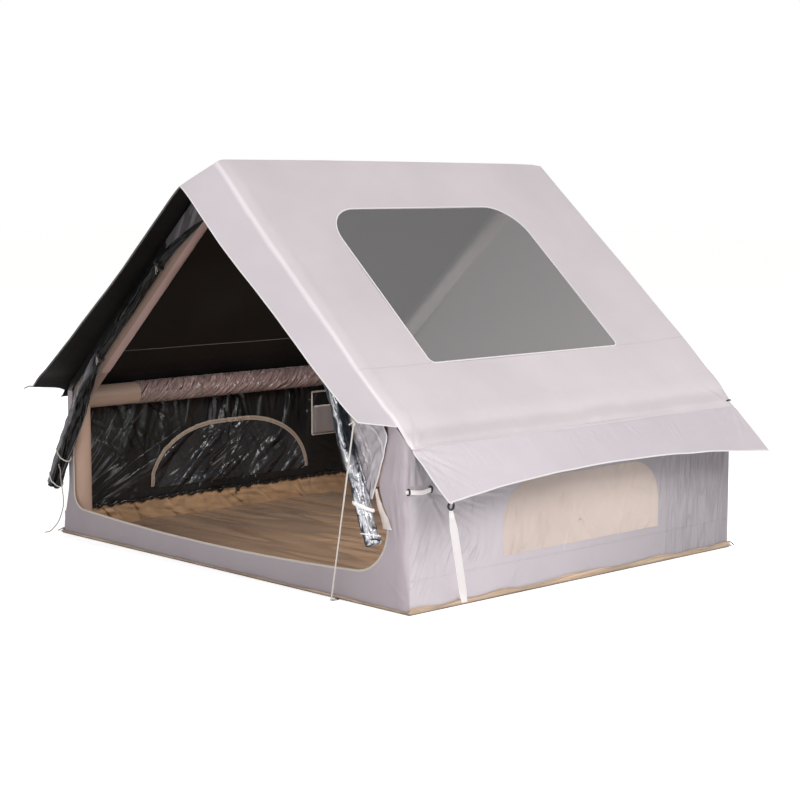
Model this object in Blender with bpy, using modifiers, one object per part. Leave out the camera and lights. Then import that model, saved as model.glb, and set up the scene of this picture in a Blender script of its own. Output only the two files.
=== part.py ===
"""Inflatable house tent: air frame, fabric skin, windows, rolled door, straps and cords.

Metres, +Z up. The origin is on the ground at the centre of the floor, and the door is at -Y.
"""

import math

import bmesh
import bpy
from mathutils import Matrix, Vector

# Overall size
TENT_WIDTH = 3.0
TENT_LENGTH = 2.53
RIDGE_HEIGHT = 2.19
EAVE_HEIGHT = 0.82
EAVE_REACH = 0.015
REAR_REACH = 0.015

# Fabric and clearances
FABRIC = 0.003
GAP = 0.0003
CUT_OVERRUN = 0.02
ARC_STEPS = 8
WELD = 0.00001
HALF_SHARE = 0.5

# Floor tray
GROUND_SHEET = 0.005
UPSTAND_HEIGHT = 0.135
DOOR_UPSTAND_HEIGHT = 0.1
HEM_BAND_HEIGHT = 0.024
HEM_BAND_WIDTH = 0.008
HEM_ROUNDING = 0.002

# Air frame
ARCH_TUBE = 0.12
EAVE_TUBE = 0.13
RIDGE_TUBE = 0.12
LEG_INSET = 0.09
ARCH_CLEARANCE = 0.003
SLEEVE_WALL = 0.003
SLEEVE_INSET = 0.02
RAFTER_ROOM = 0.002
EAVE_BEND = 0.15
RIDGE_BEND = 0.09
CUFF_LENGTH = 0.324
SADDLE_SHARE = 0.3
TUBE_SIDES = 6

# Inflation valve, on the rear arch's right leg
VALVE_HEIGHT = 0.3
VALVE_FLANGE = 0.032
VALVE_FLANGE_THICKNESS = 0.004
VALVE_BARREL = 0.024
VALVE_DEPTH = 0.03
VALVE_BOSS = 0.017
VALVE_BOSS_HEIGHT = 0.008
VALVE_CAP = 0.022
VALVE_CAP_TOP = 0.004
VALVE_GRIP_HEIGHT = 0.006
VALVE_GRIP_WIDTH = 0.005
VALVE_GRIP_SHARE = 0.8
VALVE_CLEARANCE = 0.0005
TURN_STEPS = 24

# Roof window
WINDOW_TOP = 0.375
WINDOW_BOTTOM = 1.51
WINDOW_HALF_WIDTH = 0.73
WINDOW_CENTRE = -0.02
WINDOW_ROUND = 0.22
WINDOW_FOOT_ROUND = 0.03
WINDOW_LAP = 0.015
FILM = 0.0015
WINDOW_PIPING = 0.008

# Front overhang
OVERHANG_REACH = 0.23
OVERHANG_DROOP = 0.14
OVERHANG_RUN = {"left": 1.975, "right": 1.9}
OVERHANG_TIP_RUN = {"left": 1.918, "right": 1.85}
OVERHANG_SPANS = 10
OVERHANG_ROWS = 4

# Awnings
AWNING_DEPTH = 0.345
AWNING_SCOOP = 0.09
AWNING_INSET = {"left": 0.035, "right": 0.004}

# Front wall and door opening
DOOR_HALF = {"left": 1.385, "right": 1.345}
DOOR_ROUND = {"left": 0.1, "right": 0.25}
SILL_HEIGHT = 0.165
SILL_DIP = 0.035
TRIM_WIDTH = 0.04
GABLE_TOP_HALF = 0.44
GABLE_TOP_DROP = 0.06
GABLE_TOP_CROWN = 0.23

# Side and rear windows
PANE_HALF_WIDTH = {"left": 0.6, "right": 0.62, "rear": 0.62}
PANE_TOP = {"left": 0.545, "right": 0.585, "rear": 0.585}
PANE_REACH = {"left": 0.5, "right": 0.22, "rear": 0.22}
PANE_RISE = {"left": 0.33, "right": 0.22, "rear": 0.22}
PANE_CENTRE = {"left": -0.01, "right": 0.01, "rear": 0}
PANE_BOTTOM = 0.205
FLAP_LAP = 0.01
ZIP_WIDTH = 0.03
SLIDER_LENGTH = 0.03
SLIDER_WIDTH = 0.012
SLIDER_DEPTH = 0.006

# Rolled door
ROLL_LOBES = 5
ROLL_LOBE_SHARE = 0.09
ROLL_SIDES = 25
ROLL_SAMPLES = 30
TIE_LENGTH = 0.018
TIE_WALL = 0.003
TIE_CLEARANCE = 0.0012
FLAP_SPANS = 12
FLAP_ROWS = 20
FLAP_FOLD = 0.005
FLAP_FOLDS = 4
GUARD_WIDTH = 0.06

# Hanging organiser on the left wall
ORGANISER_WIDTH = 0.3
ORGANISER_START = 0.69
ORGANISER_TOP = 0.695
ORGANISER_BOTTOM = 0.41
POUCH_HEIGHT = 0.19
POUCH_DEPTH = 0.03
POUCH_WALL = 0.002

# Corner handle and its gusset
HANDLE_HEIGHT = 0.61
HANDLE_LENGTH = 0.13
HANDLE_BAND = 0.024
HANDLE_BAND_THICKNESS = 0.004
HANDLE_STANDOFF = 0.02
HANDLE_END_LENGTH = 0.014
HANDLE_END_HEIGHT = 0.034
GUSSET_TOP = 0.05
GUSSET_FOOT = 0.1
GUSSET_SPACE = 0.01

# Awning ring, strap and foot loops
RING_RADIUS = 0.018
RING_WIRE = 0.006
STRAP_WIDTH = 0.038
STRAP_THICKNESS = 0.002
STRAP_FOOT_Y = -0.897
STRAP_FOOT_Z = 0.012
STRAP_TWIST_SHARE = 0.8
STRAP_ROWS = 20
LOOP_LENGTH = 0.05
LOOP_WIDTH = 0.03
LOOP_BAND = 0.008
LOOP_LIFT = 0.0005

# Cords
GUY_ROPE = 0.008
TIE_CORD = 0.006
CORD_SAMPLES = 60
CORD_BEND = 0.01
GUY_SPANS = 50
GUY_SHARE_DOWN = 0.985
GUY_SHARE_OUT = 0.96
GUY_FOOT_X = 0.986

# Worked out from the sizes above
HALF_WIDTH = TENT_WIDTH / 2
HALF_LENGTH = TENT_LENGTH / 2
EAVE_X = HALF_WIDTH + EAVE_REACH
ROOF_PITCH = math.atan2(RIDGE_HEIGHT - EAVE_HEIGHT, EAVE_X)
SLOPE_LENGTH = math.hypot(EAVE_X, RIDGE_HEIGHT - EAVE_HEIGHT)
WALL_FOOT = GROUND_SHEET + GAP
ARCH_RADIUS = ARCH_TUBE / 2
ARCH_Y = HALF_LENGTH - FABRIC - GAP - FABRIC - ARCH_CLEARANCE - ARCH_RADIUS
LEG_X = HALF_WIDTH - LEG_INSET
RAFTER_DROP = FABRIC + RAFTER_ROOM + SLEEVE_WALL + ARCH_RADIUS

# Routes chosen by hand: x, y, z, and for a door roll its radius
LEFT_ROLL = (
    (-0.10, -1.300, 1.868, 0.014),
    (-0.24, -1.305, 1.790, 0.020),
    (-0.381, -1.315, 1.691, 0.026),
    (-0.52, -1.315, 1.570, 0.031),
    (-0.677, -1.315, 1.425, 0.033),
    (-0.82, -1.315, 1.297, 0.032),
    (-0.966, -1.315, 1.155, 0.027),
    (-1.07, -1.318, 1.050, 0.034),
    (-1.16, -1.318, 0.921, 0.044),
    (-1.246, -1.320, 0.765, 0.052),
    (-1.308, -1.320, 0.655, 0.052),
    (-1.365, -1.319, 0.559, 0.050),
    (-1.428, -1.3180, 0.453, 0.047),
    (-1.490, -1.3135, 0.350, 0.048),
    (-1.525, -1.314, 0.290, 0.050),
)
RIGHT_ROLL = (
    (0.10, -1.300, 1.868, 0.014),
    (0.24, -1.305, 1.790, 0.020),
    (0.381, -1.315, 1.691, 0.026),
    (0.52, -1.315, 1.570, 0.031),
    (0.66, -1.315, 1.440, 0.034),
    (0.79, -1.315, 1.320, 0.035),
    (0.90, -1.318, 1.215, 0.037),
    (0.982, -1.320, 1.115, 0.039),
    (1.040, -1.319, 1.000, 0.041),
    (1.094, -1.318, 0.828, 0.043),
    (1.164, -1.317, 0.666, 0.043),
    (1.240, -1.317, 0.468, 0.043),
    (1.302, -1.317, 0.325, 0.042),
)
ROLL_TIE_STEPS = {"left_upper_tie": 2, "left_lower_tie": 6, "left_end_tie": 12}
FLAP_SIDES = (
    ((0.990, 1.290), 0.990),
    ((1.010, 1.357), 0.870),
    ((1.075, 1.325), 0.750),
    ((1.130, 1.289), 0.656),
    ((1.175, 1.246), 0.547),
)
GUARD_LINE = ((1.262, 0.600), (1.290, 0.520), (1.325, 0.460), (1.348, 0.410))
TIE_CORD_ROUTE = (
    (-1.372, -1.368, 0.405),
    (-1.371, -1.367, 0.355),
    (-1.367, -1.362, 0.300),
    (-1.363, -1.357, 0.240),
    (-1.371, -1.354, 0.185),
    (-1.395, -1.353, 0.135),
    (-1.430, -1.352, 0.085),
    (-1.485, -1.351, 0.040),
    (-1.525, -1.350, 0.016),
    (-1.574, -1.350, 0.0035),
)

# Colours and roughness
OUTER_GREY = ((0.66, 0.62, 0.63), 0.75)
ROOF_GREY = ((0.68, 0.62, 0.64), 0.7)
TAN = ((0.36, 0.22, 0.14), 0.6)
MAUVE = ((0.23, 0.13, 0.12), 0.7)
FLOOR_TAN = ((0.40, 0.24, 0.11), 0.65)
WINDOW_TAN = ((0.64, 0.54, 0.46), 0.75)
BLACK_COATING = ((0.01, 0.009, 0.009), 0.35)
SILVER_FILM = ((0.25, 0.29, 0.36), 0.3)
SMOKE_FILM = ((0.15, 0.15, 0.15), 0.2)
WHITE_TAPE = ((0.88, 0.84, 0.84), 0.7)
BLACK_PLASTIC = ((0.02, 0.02, 0.02), 0.4)
CORD_CREAM = ((0.78, 0.66, 0.55), 0.8)

tent = bpy.data.collections.new("inflatable_tent")
helpers = bpy.data.collections.new("cutters")


def clear_scene():
    for old in list(bpy.data.objects):
        bpy.data.objects.remove(old)
    bpy.context.scene.collection.children.link(tent)
    bpy.context.scene.collection.children.link(helpers)


def dress(piece, finish):
    colour, roughness = finish
    made = bpy.data.materials.new(piece.name)
    made.use_nodes = True
    shader = made.node_tree.nodes["Principled BSDF"]
    shader.inputs["Base Color"].default_value = (*colour, 1)
    shader.inputs["Roughness"].default_value = roughness
    shader.inputs["Metallic"].default_value = 0
    piece.data.materials.clear()
    piece.data.materials.append(made)


def add_piece(name, data, finish, frame=None):
    piece = bpy.data.objects.new(name, data)
    tent.objects.link(piece)
    piece.matrix_world = frame or Matrix.Identity(4)
    dress(piece, finish)
    return piece


def add_cutter(name, data, frame=None):
    cutter = bpy.data.objects.new(name, data)
    helpers.objects.link(cutter)
    cutter.matrix_world = frame or Matrix.Identity(4)
    cutter.hide_render = True
    cutter.display_type = "WIRE"
    return cutter


def frame_at(origin, x_axis, y_axis):
    x_unit = Vector(x_axis).normalized()
    y_unit = Vector(y_axis).normalized()
    turn = Matrix((x_unit, y_unit, x_unit.cross(y_unit))).transposed()
    return Matrix.Translation(origin) @ turn.to_4x4()


def arc(centre, radius, start, end):
    """Points on an arc, angles in degrees."""
    points = []
    for step in range(ARC_STEPS + 1):
        angle = math.radians(start + (end - start) * step / ARC_STEPS)
        points.append((centre[0] + radius * math.cos(angle), centre[1] + radius * math.sin(angle)))
    return points


def circle(radius, steps):
    return [
        (radius * math.cos(math.tau * step / steps), radius * math.sin(math.tau * step / steps))
        for step in range(steps)
    ]


def flat_curve(name, paths, thickness, keen=False):
    """A filled outline with its holes, as thick as asked. A keen edge comes to a ridge at mid thickness."""
    curve = bpy.data.curves.new(name, "CURVE")
    curve.dimensions = "2D"
    curve.fill_mode = "BOTH"
    for path in paths:
        spline = curve.splines.new("POLY")
        spline.points.add(len(path) - 1)
        for point, (x, y) in zip(spline.points, path):
            point.co = (x, y, 0, 1)
        spline.use_cyclic_u = True
    if keen:
        curve.bevel_depth = thickness / 2
        curve.bevel_resolution = 0
        curve.offset = -thickness / 2
    else:
        curve.extrude = thickness / 2
    return curve


def sheet(name, paths, frame, finish, thickness=FABRIC, keen=False):
    """A flat fabric piece whose outer face lies in the frame's plane."""
    curve = flat_curve(name, paths, thickness, keen)
    return add_piece(name, curve, finish, frame @ Matrix.Translation((0, 0, -thickness / 2)))


def mesh_copy(piece):
    """The evaluated shape of a piece as a closed mesh."""
    bpy.context.view_layer.update()
    graph = bpy.context.evaluated_depsgraph_get()
    mesh = bpy.data.meshes.new_from_object(piece.evaluated_get(graph))
    shape = bmesh.new()
    shape.from_mesh(mesh)
    bmesh.ops.remove_doubles(shape, verts=shape.verts, dist=WELD)
    shape.to_mesh(mesh)
    shape.free()
    return mesh


def as_mesh(piece, finish):
    """Turns a curve piece into a mesh piece of the same name and place."""
    mesh = mesh_copy(piece)
    frame = piece.matrix_world.copy()
    name = piece.name
    bpy.data.objects.remove(piece)
    return add_piece(name, mesh, finish, frame)


def combine(piece, other, operation):
    modifier = piece.modifiers.new(other.name, "BOOLEAN")
    modifier.operation = operation
    modifier.object = other
    modifier.solver = "EXACT"


def box_mesh(name, low, high):
    mesh = bpy.data.meshes.new(name)
    shape = bmesh.new()
    bmesh.ops.create_cube(shape, size=2 * HALF_SHARE)
    low, high = Vector(low), Vector(high)
    bmesh.ops.scale(shape, vec=high - low, verts=shape.verts)
    bmesh.ops.translate(shape, vec=(low + high) / 2, verts=shape.verts)
    shape.to_mesh(mesh)
    shape.free()
    return mesh


def tube_curve(name, points, diameter, sides, closed=False):
    curve = bpy.data.curves.new(name, "CURVE")
    curve.dimensions = "3D"
    curve.bevel_depth = diameter / 2
    curve.bevel_resolution = sides
    curve.use_fill_caps = not closed
    spline = curve.splines.new("POLY")
    spline.points.add(len(points) - 1)
    for point, place in zip(spline.points, points):
        point.co = (*place, 1)
    spline.use_cyclic_u = closed
    return curve


def ring_tube(name, start, end, inner_radius, wall, finish):
    """A short straight tube, open at both ends, between two points on its axis."""
    start, end = Vector(start), Vector(end)
    along = end - start
    across = along.orthogonal()
    frame = frame_at((start + end) / 2, across, along.cross(across))
    # The corners of the inner outline lie outside its radius, so its flats don't cut what it goes round.
    corner_radius = inner_radius / math.cos(math.pi / TURN_STEPS)
    paths = (circle(corner_radius + wall, TURN_STEPS), circle(corner_radius, TURN_STEPS))
    curve = flat_curve(name, paths, along.length)
    return add_piece(name, curve, finish, frame)


def smooth(points, count):
    """Places along a smooth curve through the points, each with as many numbers as the points have."""
    places = [Vector(point) for point in points]
    ends = [2 * places[0] - places[1], *places, 2 * places[-1] - places[-2]]
    found = []
    for step in range(count):
        whole = (len(places) - 1) * step / (count - 1)
        index = min(int(whole), len(places) - 2)
        t = whole - index
        a, b, c, d = ends[index : index + 4]
        found.append(
            (b * 2 + (c - a) * t + (a * 2 - b * 5 + c * 4 - d) * t**2 + (b * 3 - a - c * 3 + d) * t**3) / 2
        )
    return found


def roof_height(x):
    return RIDGE_HEIGHT - abs(x) * math.tan(ROOF_PITCH)


def under_roof(x, depth=FABRIC + GAP):
    return roof_height(x) - depth / math.cos(ROOF_PITCH)


def slope_frame(side):
    """Origin at the ridge, x down the slope, z out of the roof."""
    sign = 1 if side == "right" else -1
    down = (sign * math.cos(ROOF_PITCH), 0, -math.sin(ROOF_PITCH))
    return frame_at((0, 0, RIDGE_HEIGHT), down, (0, sign, 0))


def front_frame(y):
    """x along the tent's width, y up, z towards the viewer in front."""
    return frame_at((0, y, 0), (1, 0, 0), (0, 0, 1))


def side_frame(x):
    """x along the tent's length, y up, z towards +X."""
    return frame_at((x, 0, 0), (0, 1, 0), (0, 0, 1))


def rounded_route(corners):
    """Straight runs joined by arcs. Each corner is a place and its bend radius."""
    points = [Vector(corners[0][0])]
    for (before, _), (corner, radius), (after, _) in zip(corners, corners[1:], corners[2:]):
        corner = Vector(corner)
        back = (Vector(before) - corner).normalized()
        ahead = (Vector(after) - corner).normalized()
        half = back.angle(ahead) / 2
        centre = corner + (back + ahead).normalized() * radius / math.sin(half)
        start = corner + back * radius / math.tan(half)
        finish = corner + ahead * radius / math.tan(half)
        turn = (start - centre).angle(finish - centre)
        axis = (start - centre).cross(finish - centre)
        for step in range(ARC_STEPS + 1):
            spin = Matrix.Rotation(turn * step / ARC_STEPS, 3, axis)
            points.append(centre + spin @ (start - centre))
    points.append(Vector(corners[-1][0]))
    return points


def arch_route(y):
    top = RIDGE_HEIGHT - RAFTER_DROP / math.cos(ROOF_PITCH)
    shoulder = top - LEG_X * math.tan(ROOF_PITCH)
    return rounded_route(
        (
            ((-LEG_X, y, WALL_FOOT), 0),
            ((-LEG_X, y, shoulder), EAVE_BEND),
            ((0, y, top), RIDGE_BEND),
            ((LEG_X, y, shoulder), EAVE_BEND),
            ((LEG_X, y, WALL_FOOT), 0),
        )
    )


def make_floor():
    inside = FABRIC + GAP
    half_x, half_y = HALF_WIDTH + HEM_BAND_WIDTH, HALF_LENGTH + HEM_BAND_WIDTH
    floor = add_piece(
        "bathtub_floor",
        box_mesh("bathtub_floor", (-half_x, -half_y, 0), (half_x, half_y, HEM_BAND_HEIGHT)),
        FLOOR_TAN,
    )
    rounding = floor.modifiers.new("hem rounding", "BEVEL")
    rounding.width = HEM_ROUNDING
    rounding.segments = 2
    rounding.use_clamp_overlap = False
    rounding.limit_method = "ANGLE"
    up_x, up_y = HALF_WIDTH - inside, HALF_LENGTH - inside
    upstand = add_cutter(
        "upstand", box_mesh("upstand", (-up_x, -up_y, GROUND_SHEET / 2), (up_x, up_y, UPSTAND_HEIGHT))
    )
    combine(floor, upstand, "UNION")
    hollow_x, hollow_y = up_x - FABRIC, up_y - FABRIC
    hollow = add_cutter(
        "floor_hollow",
        box_mesh(
            "floor_hollow",
            (-hollow_x, -hollow_y, GROUND_SHEET),
            (hollow_x, hollow_y, UPSTAND_HEIGHT + CUT_OVERRUN),
        ),
    )
    combine(floor, hollow, "DIFFERENCE")
    slot_x, slot_y = HALF_WIDTH + GAP, HALF_LENGTH + GAP
    corners = ((-1, -1), (1, -1), (1, 1), (-1, 1))
    groove = flat_curve(
        "wall_groove",
        ([(x * slot_x, y * slot_y) for x, y in corners], [(x * up_x, y * up_y) for x, y in corners]),
        UPSTAND_HEIGHT,
    )
    raised = Matrix.Translation((0, 0, GROUND_SHEET + UPSTAND_HEIGHT / 2))
    source = add_cutter("wall_groove_curve", groove, raised)
    cutter = add_cutter("wall_groove", mesh_copy(source), raised)
    combine(floor, cutter, "DIFFERENCE")
    notch_half = DOOR_HALF["right"] - DOOR_ROUND["right"]
    notch = add_cutter(
        "door_notch",
        box_mesh(
            "door_notch",
            (-notch_half, -up_y - CUT_OVERRUN, DOOR_UPSTAND_HEIGHT),
            (notch_half, -hollow_y + CUT_OVERRUN, UPSTAND_HEIGHT + CUT_OVERRUN),
        ),
    )
    combine(floor, notch, "DIFFERENCE")


def make_air_frame():
    arches = {}
    for name, y in (("front", -ARCH_Y), ("rear", ARCH_Y)):
        route = arch_route(y)
        label = name + "_arch_tube"
        arches[name] = as_mesh(add_piece(label, tube_curve(label, route, ARCH_TUBE, TUBE_SIDES), TAN), TAN)
        cutter_name = name + "_saddle"
        saddle = tube_curve(cutter_name, route, ARCH_TUBE + 2 * GAP, TUBE_SIDES)
        source = add_cutter(cutter_name + "_curve", saddle)
        arches[name + "_saddle"] = add_cutter(cutter_name, mesh_copy(source))
    shoulder = arch_route(ARCH_Y)[1 + ARC_STEPS // 2]
    shoulder_x, shoulder_z = abs(shoulder.x), shoulder.z
    below_roof = FABRIC + GAP + RAFTER_ROOM + SLEEVE_WALL + RIDGE_TUBE / 2
    ridge_z = RIDGE_HEIGHT - below_roof / math.cos(ROOF_PITCH)
    reach = ARCH_Y - ARCH_RADIUS * SADDLE_SHARE
    beams = (
        ("left_eave_beam", -shoulder_x, shoulder_z, EAVE_TUBE),
        ("right_eave_beam", shoulder_x, shoulder_z, EAVE_TUBE),
        ("ridge_beam", 0, ridge_z, RIDGE_TUBE),
    )
    sleeve_end = ARCH_Y - ARCH_RADIUS - CUFF_LENGTH
    for name, x, z, diameter in beams:
        curve = tube_curve(name, ((x, -reach, z), (x, reach, z)), diameter, TUBE_SIDES)
        beam = as_mesh(add_piece(name, curve, TAN), TAN)
        combine(beam, arches["front_saddle"], "DIFFERENCE")
        combine(beam, arches["rear_saddle"], "DIFFERENCE")
    for name, x, z, diameter in beams[:2]:
        label = name.replace("beam", "sleeve")
        ends = ((x, -sleeve_end, z), (x, sleeve_end, z))
        ring_tube(label, *ends, diameter / 2 + GAP, SLEEVE_WALL, MAUVE)
    make_rafter_sleeves()
    return arches


def make_rafter_sleeves():
    route = arch_route(-ARCH_Y)
    low, high = Vector(route[1 + ARC_STEPS]), Vector(route[2 + ARC_STEPS])
    inset = (high - low).normalized() * SLEEVE_INSET
    for side, sign in (("left", 1), ("right", -1)):
        mirror = Vector((sign, 1, 1))
        ends = ((low + inset) * mirror, (high - inset) * mirror)
        ring_tube("front_" + side + "_rafter_sleeve", *ends, ARCH_RADIUS + GAP, SLEEVE_WALL, MAUVE)


def turned(name, profile, frame, finish):
    """A turned shape about z, from a profile of radius and height run from top to bottom."""
    mesh = bpy.data.meshes.new(name)
    shape = bmesh.new()
    verts = [shape.verts.new((radius, 0, height)) for radius, height in profile]
    for a, b in zip(verts, verts[1:]):
        shape.edges.new((a, b))
    shape.to_mesh(mesh)
    shape.free()
    piece = add_piece(name, mesh, finish, frame)
    screw = piece.modifiers.new("turn", "SCREW")
    screw.steps = TURN_STEPS
    screw.render_steps = TURN_STEPS
    screw.use_merge_vertices = True
    screw.merge_threshold = WELD
    return piece


def make_valve(arches):
    """Its axis points into the tent, and its barrel sits in a pocket of the leg."""
    face_x = LEG_X - ARCH_RADIUS - VALVE_CLEARANCE
    frame = frame_at((face_x, ARCH_Y, VALVE_HEIGHT), (0, 1, 0), (0, 0, 1)) @ Matrix.Rotation(math.pi, 4, "X")
    boss_top = VALVE_FLANGE_THICKNESS + VALVE_BOSS_HEIGHT
    body = (
        (0, boss_top),
        (VALVE_BOSS, boss_top),
        (VALVE_BOSS, VALVE_FLANGE_THICKNESS),
        (VALVE_FLANGE, VALVE_FLANGE_THICKNESS),
        (VALVE_FLANGE, 0),
        (VALVE_BARREL, 0),
        (VALVE_BARREL, -VALVE_DEPTH),
        (0, -VALVE_DEPTH),
    )
    turned("valve_body", body, frame, BLACK_PLASTIC)
    room = VALVE_BARREL + VALVE_CLEARANCE
    pocket = (
        (0, CUT_OVERRUN),
        (room, CUT_OVERRUN),
        (room, -VALVE_DEPTH - VALVE_CLEARANCE),
        (0, -VALVE_DEPTH - VALVE_CLEARANCE),
    )
    cutter = turned("valve_pocket", pocket, frame, BLACK_PLASTIC)
    mesh = mesh_copy(cutter)
    bpy.data.objects.remove(cutter)
    combine(arches["rear"], add_cutter("valve_pocket", mesh, frame), "DIFFERENCE")
    inner = VALVE_BOSS + VALVE_CLEARANCE
    foot = VALVE_FLANGE_THICKNESS + VALVE_CLEARANCE
    ceiling = boss_top + VALVE_CLEARANCE
    cap_top = ceiling + VALVE_CAP_TOP
    cap = (
        (0, cap_top),
        (VALVE_CAP, cap_top),
        (VALVE_CAP, foot),
        (inner, foot),
        (inner, ceiling),
        (0, ceiling),
    )
    lid = turned("valve_cap", cap, frame, BLACK_PLASTIC)
    grip_half = VALVE_CAP * VALVE_GRIP_SHARE
    grip = add_cutter(
        "valve_grip",
        box_mesh(
            "valve_grip",
            (-grip_half, -VALVE_GRIP_WIDTH / 2, cap_top - VALVE_CAP_TOP / 2),
            (grip_half, VALVE_GRIP_WIDTH / 2, cap_top + VALVE_GRIP_HEIGHT),
        ),
        frame,
    )
    combine(lid, grip, "UNION")


def roof_window_outline(grow):
    """The window in slope coordinates: x down the slope, y along the ridge."""
    low_y = WINDOW_CENTRE - WINDOW_HALF_WIDTH
    high_y = WINDOW_CENTRE + WINDOW_HALF_WIDTH
    top, foot = WINDOW_TOP + WINDOW_ROUND, WINDOW_BOTTOM - WINDOW_FOOT_ROUND
    big, small = WINDOW_ROUND + grow, WINDOW_FOOT_ROUND + grow
    return [
        *arc((top, low_y + WINDOW_ROUND), big, 270, 180),
        *arc((top, high_y - WINDOW_ROUND), big, 180, 90),
        *arc((foot, high_y - WINDOW_FOOT_ROUND), small, 90, 0),
        *arc((foot, low_y + WINDOW_FOOT_ROUND), small, 0, -90),
    ]


def make_roof():
    ridge_start = (GAP / 2 + FABRIC / 2 * math.sin(ROOF_PITCH)) / math.cos(ROOF_PITCH)
    for side in ("left", "right"):
        # The left slope's own y axis points to the front, so its ends swap.
        front, rear = -HALF_LENGTH, HALF_LENGTH + REAR_REACH
        low, high = (front, rear) if side == "right" else (-rear, -front)
        outline = [(ridge_start, low), (SLOPE_LENGTH, low), (SLOPE_LENGTH, high), (ridge_start, high)]
        holes = [roof_window_outline(0)] if side == "right" else []
        sheet(side + "_roof_panel", (outline, *holes), slope_frame(side), ROOF_GREY, keen=True)
    below = slope_frame("right") @ Matrix.Translation((0, 0, -FABRIC - GAP))
    sheet("roof_window_film", (roof_window_outline(WINDOW_LAP),), below, SMOKE_FILM, FILM)
    lift = WINDOW_PIPING / 2 + GAP
    route = [(x, y, lift) for x, y in roof_window_outline(WINDOW_PIPING)]
    add_piece(
        "roof_window_piping",
        tube_curve("roof_window_piping", route, WINDOW_PIPING, 1, closed=True),
        WHITE_TAPE,
        slope_frame("right"),
    )


def bent_sheet(name, spans, rows, place, outward, finish, thickness=FABRIC):
    """A sheet bent to a rule. place turns shares u and v into a point on its outer face."""
    mesh = bpy.data.meshes.new(name)
    shape = bmesh.new()
    bmesh.ops.create_grid(shape, x_segments=spans, y_segments=rows, size=HALF_SHARE)
    for vert in shape.verts:
        vert.co = place(vert.co.x + HALF_SHARE, vert.co.y + HALF_SHARE)
    bmesh.ops.recalc_face_normals(shape, faces=shape.faces)
    shape.normal_update()
    if sum((face.normal for face in shape.faces), Vector()).dot(Vector(outward)) < 0:
        bmesh.ops.reverse_faces(shape, faces=shape.faces)
    shape.to_mesh(mesh)
    shape.free()
    piece = add_piece(name, mesh, finish)
    wall = piece.modifiers.new("cloth", "SOLIDIFY")
    wall.thickness = thickness
    wall.offset = -1
    return piece


def overhang_point(side, u, v):
    """A place on a wing's outer face: u runs down the slope and v runs forward."""
    sign = 1 if side == "right" else -1
    start = GAP / 2 + FABRIC * math.sin(ROOF_PITCH)
    seam = FABRIC * math.sin(math.atan2(OVERHANG_DROOP, OVERHANG_REACH)) + GAP
    run = OVERHANG_RUN[side] + (OVERHANG_TIP_RUN[side] - OVERHANG_RUN[side]) * v
    x = start + (run * math.cos(ROOF_PITCH) - start) * u
    y = -HALF_LENGTH - seam - OVERHANG_REACH * v
    return Vector((sign * x, y, roof_height(x) - OVERHANG_DROOP * v * (1 - u)))


def make_overhang():
    for side in ("left", "right"):

        def place(u, v):
            return overhang_point(side, u, v)

        bent_sheet(side + "_overhang", OVERHANG_SPANS, OVERHANG_ROWS, place, (0, 0, 1), ROOF_GREY)


def eave_pivot(side):
    """The line at mid thickness where an awning folds."""
    sign = 1 if side == "right" else -1
    x = EAVE_X - FABRIC / 2 * math.sin(ROOF_PITCH)
    return Vector((sign * x, 0, EAVE_HEIGHT - FABRIC / 2 * math.cos(ROOF_PITCH)))


def awning_outline(side):
    """x runs down from the fold and y along the tent, with a hollowed lower edge."""
    front, rear = -HALF_LENGTH + AWNING_INSET[side], HALF_LENGTH + REAR_REACH - AWNING_INSET[side]
    middle, half = (front + rear) / 2, (rear - front) / 2
    outline = [(GAP, rear), (GAP, front)]
    for step in range(2 * ARC_STEPS + 1):
        share = step / ARC_STEPS - 1
        outline.append((AWNING_DEPTH - AWNING_SCOOP * (1 - share**2), middle + half * share))
    return outline


def make_awnings():
    down_slope = (math.cos(ROOF_PITCH), 0, -math.sin(ROOF_PITCH))
    lift = Matrix.Translation((0, 0, FABRIC / 2))
    right = frame_at(eave_pivot("right"), down_slope, (0, 1, 0)) @ lift
    sheet("right_awning", (awning_outline("right"),), right, ROOF_GREY, keen=True)
    left = frame_at(eave_pivot("left"), (0, 0, -1), (0, -1, 0)) @ lift
    mirrored = [(x, -y) for x, y in awning_outline("left")]
    sheet("left_awning", (mirrored,), left, ROOF_GREY, keen=True)


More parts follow.
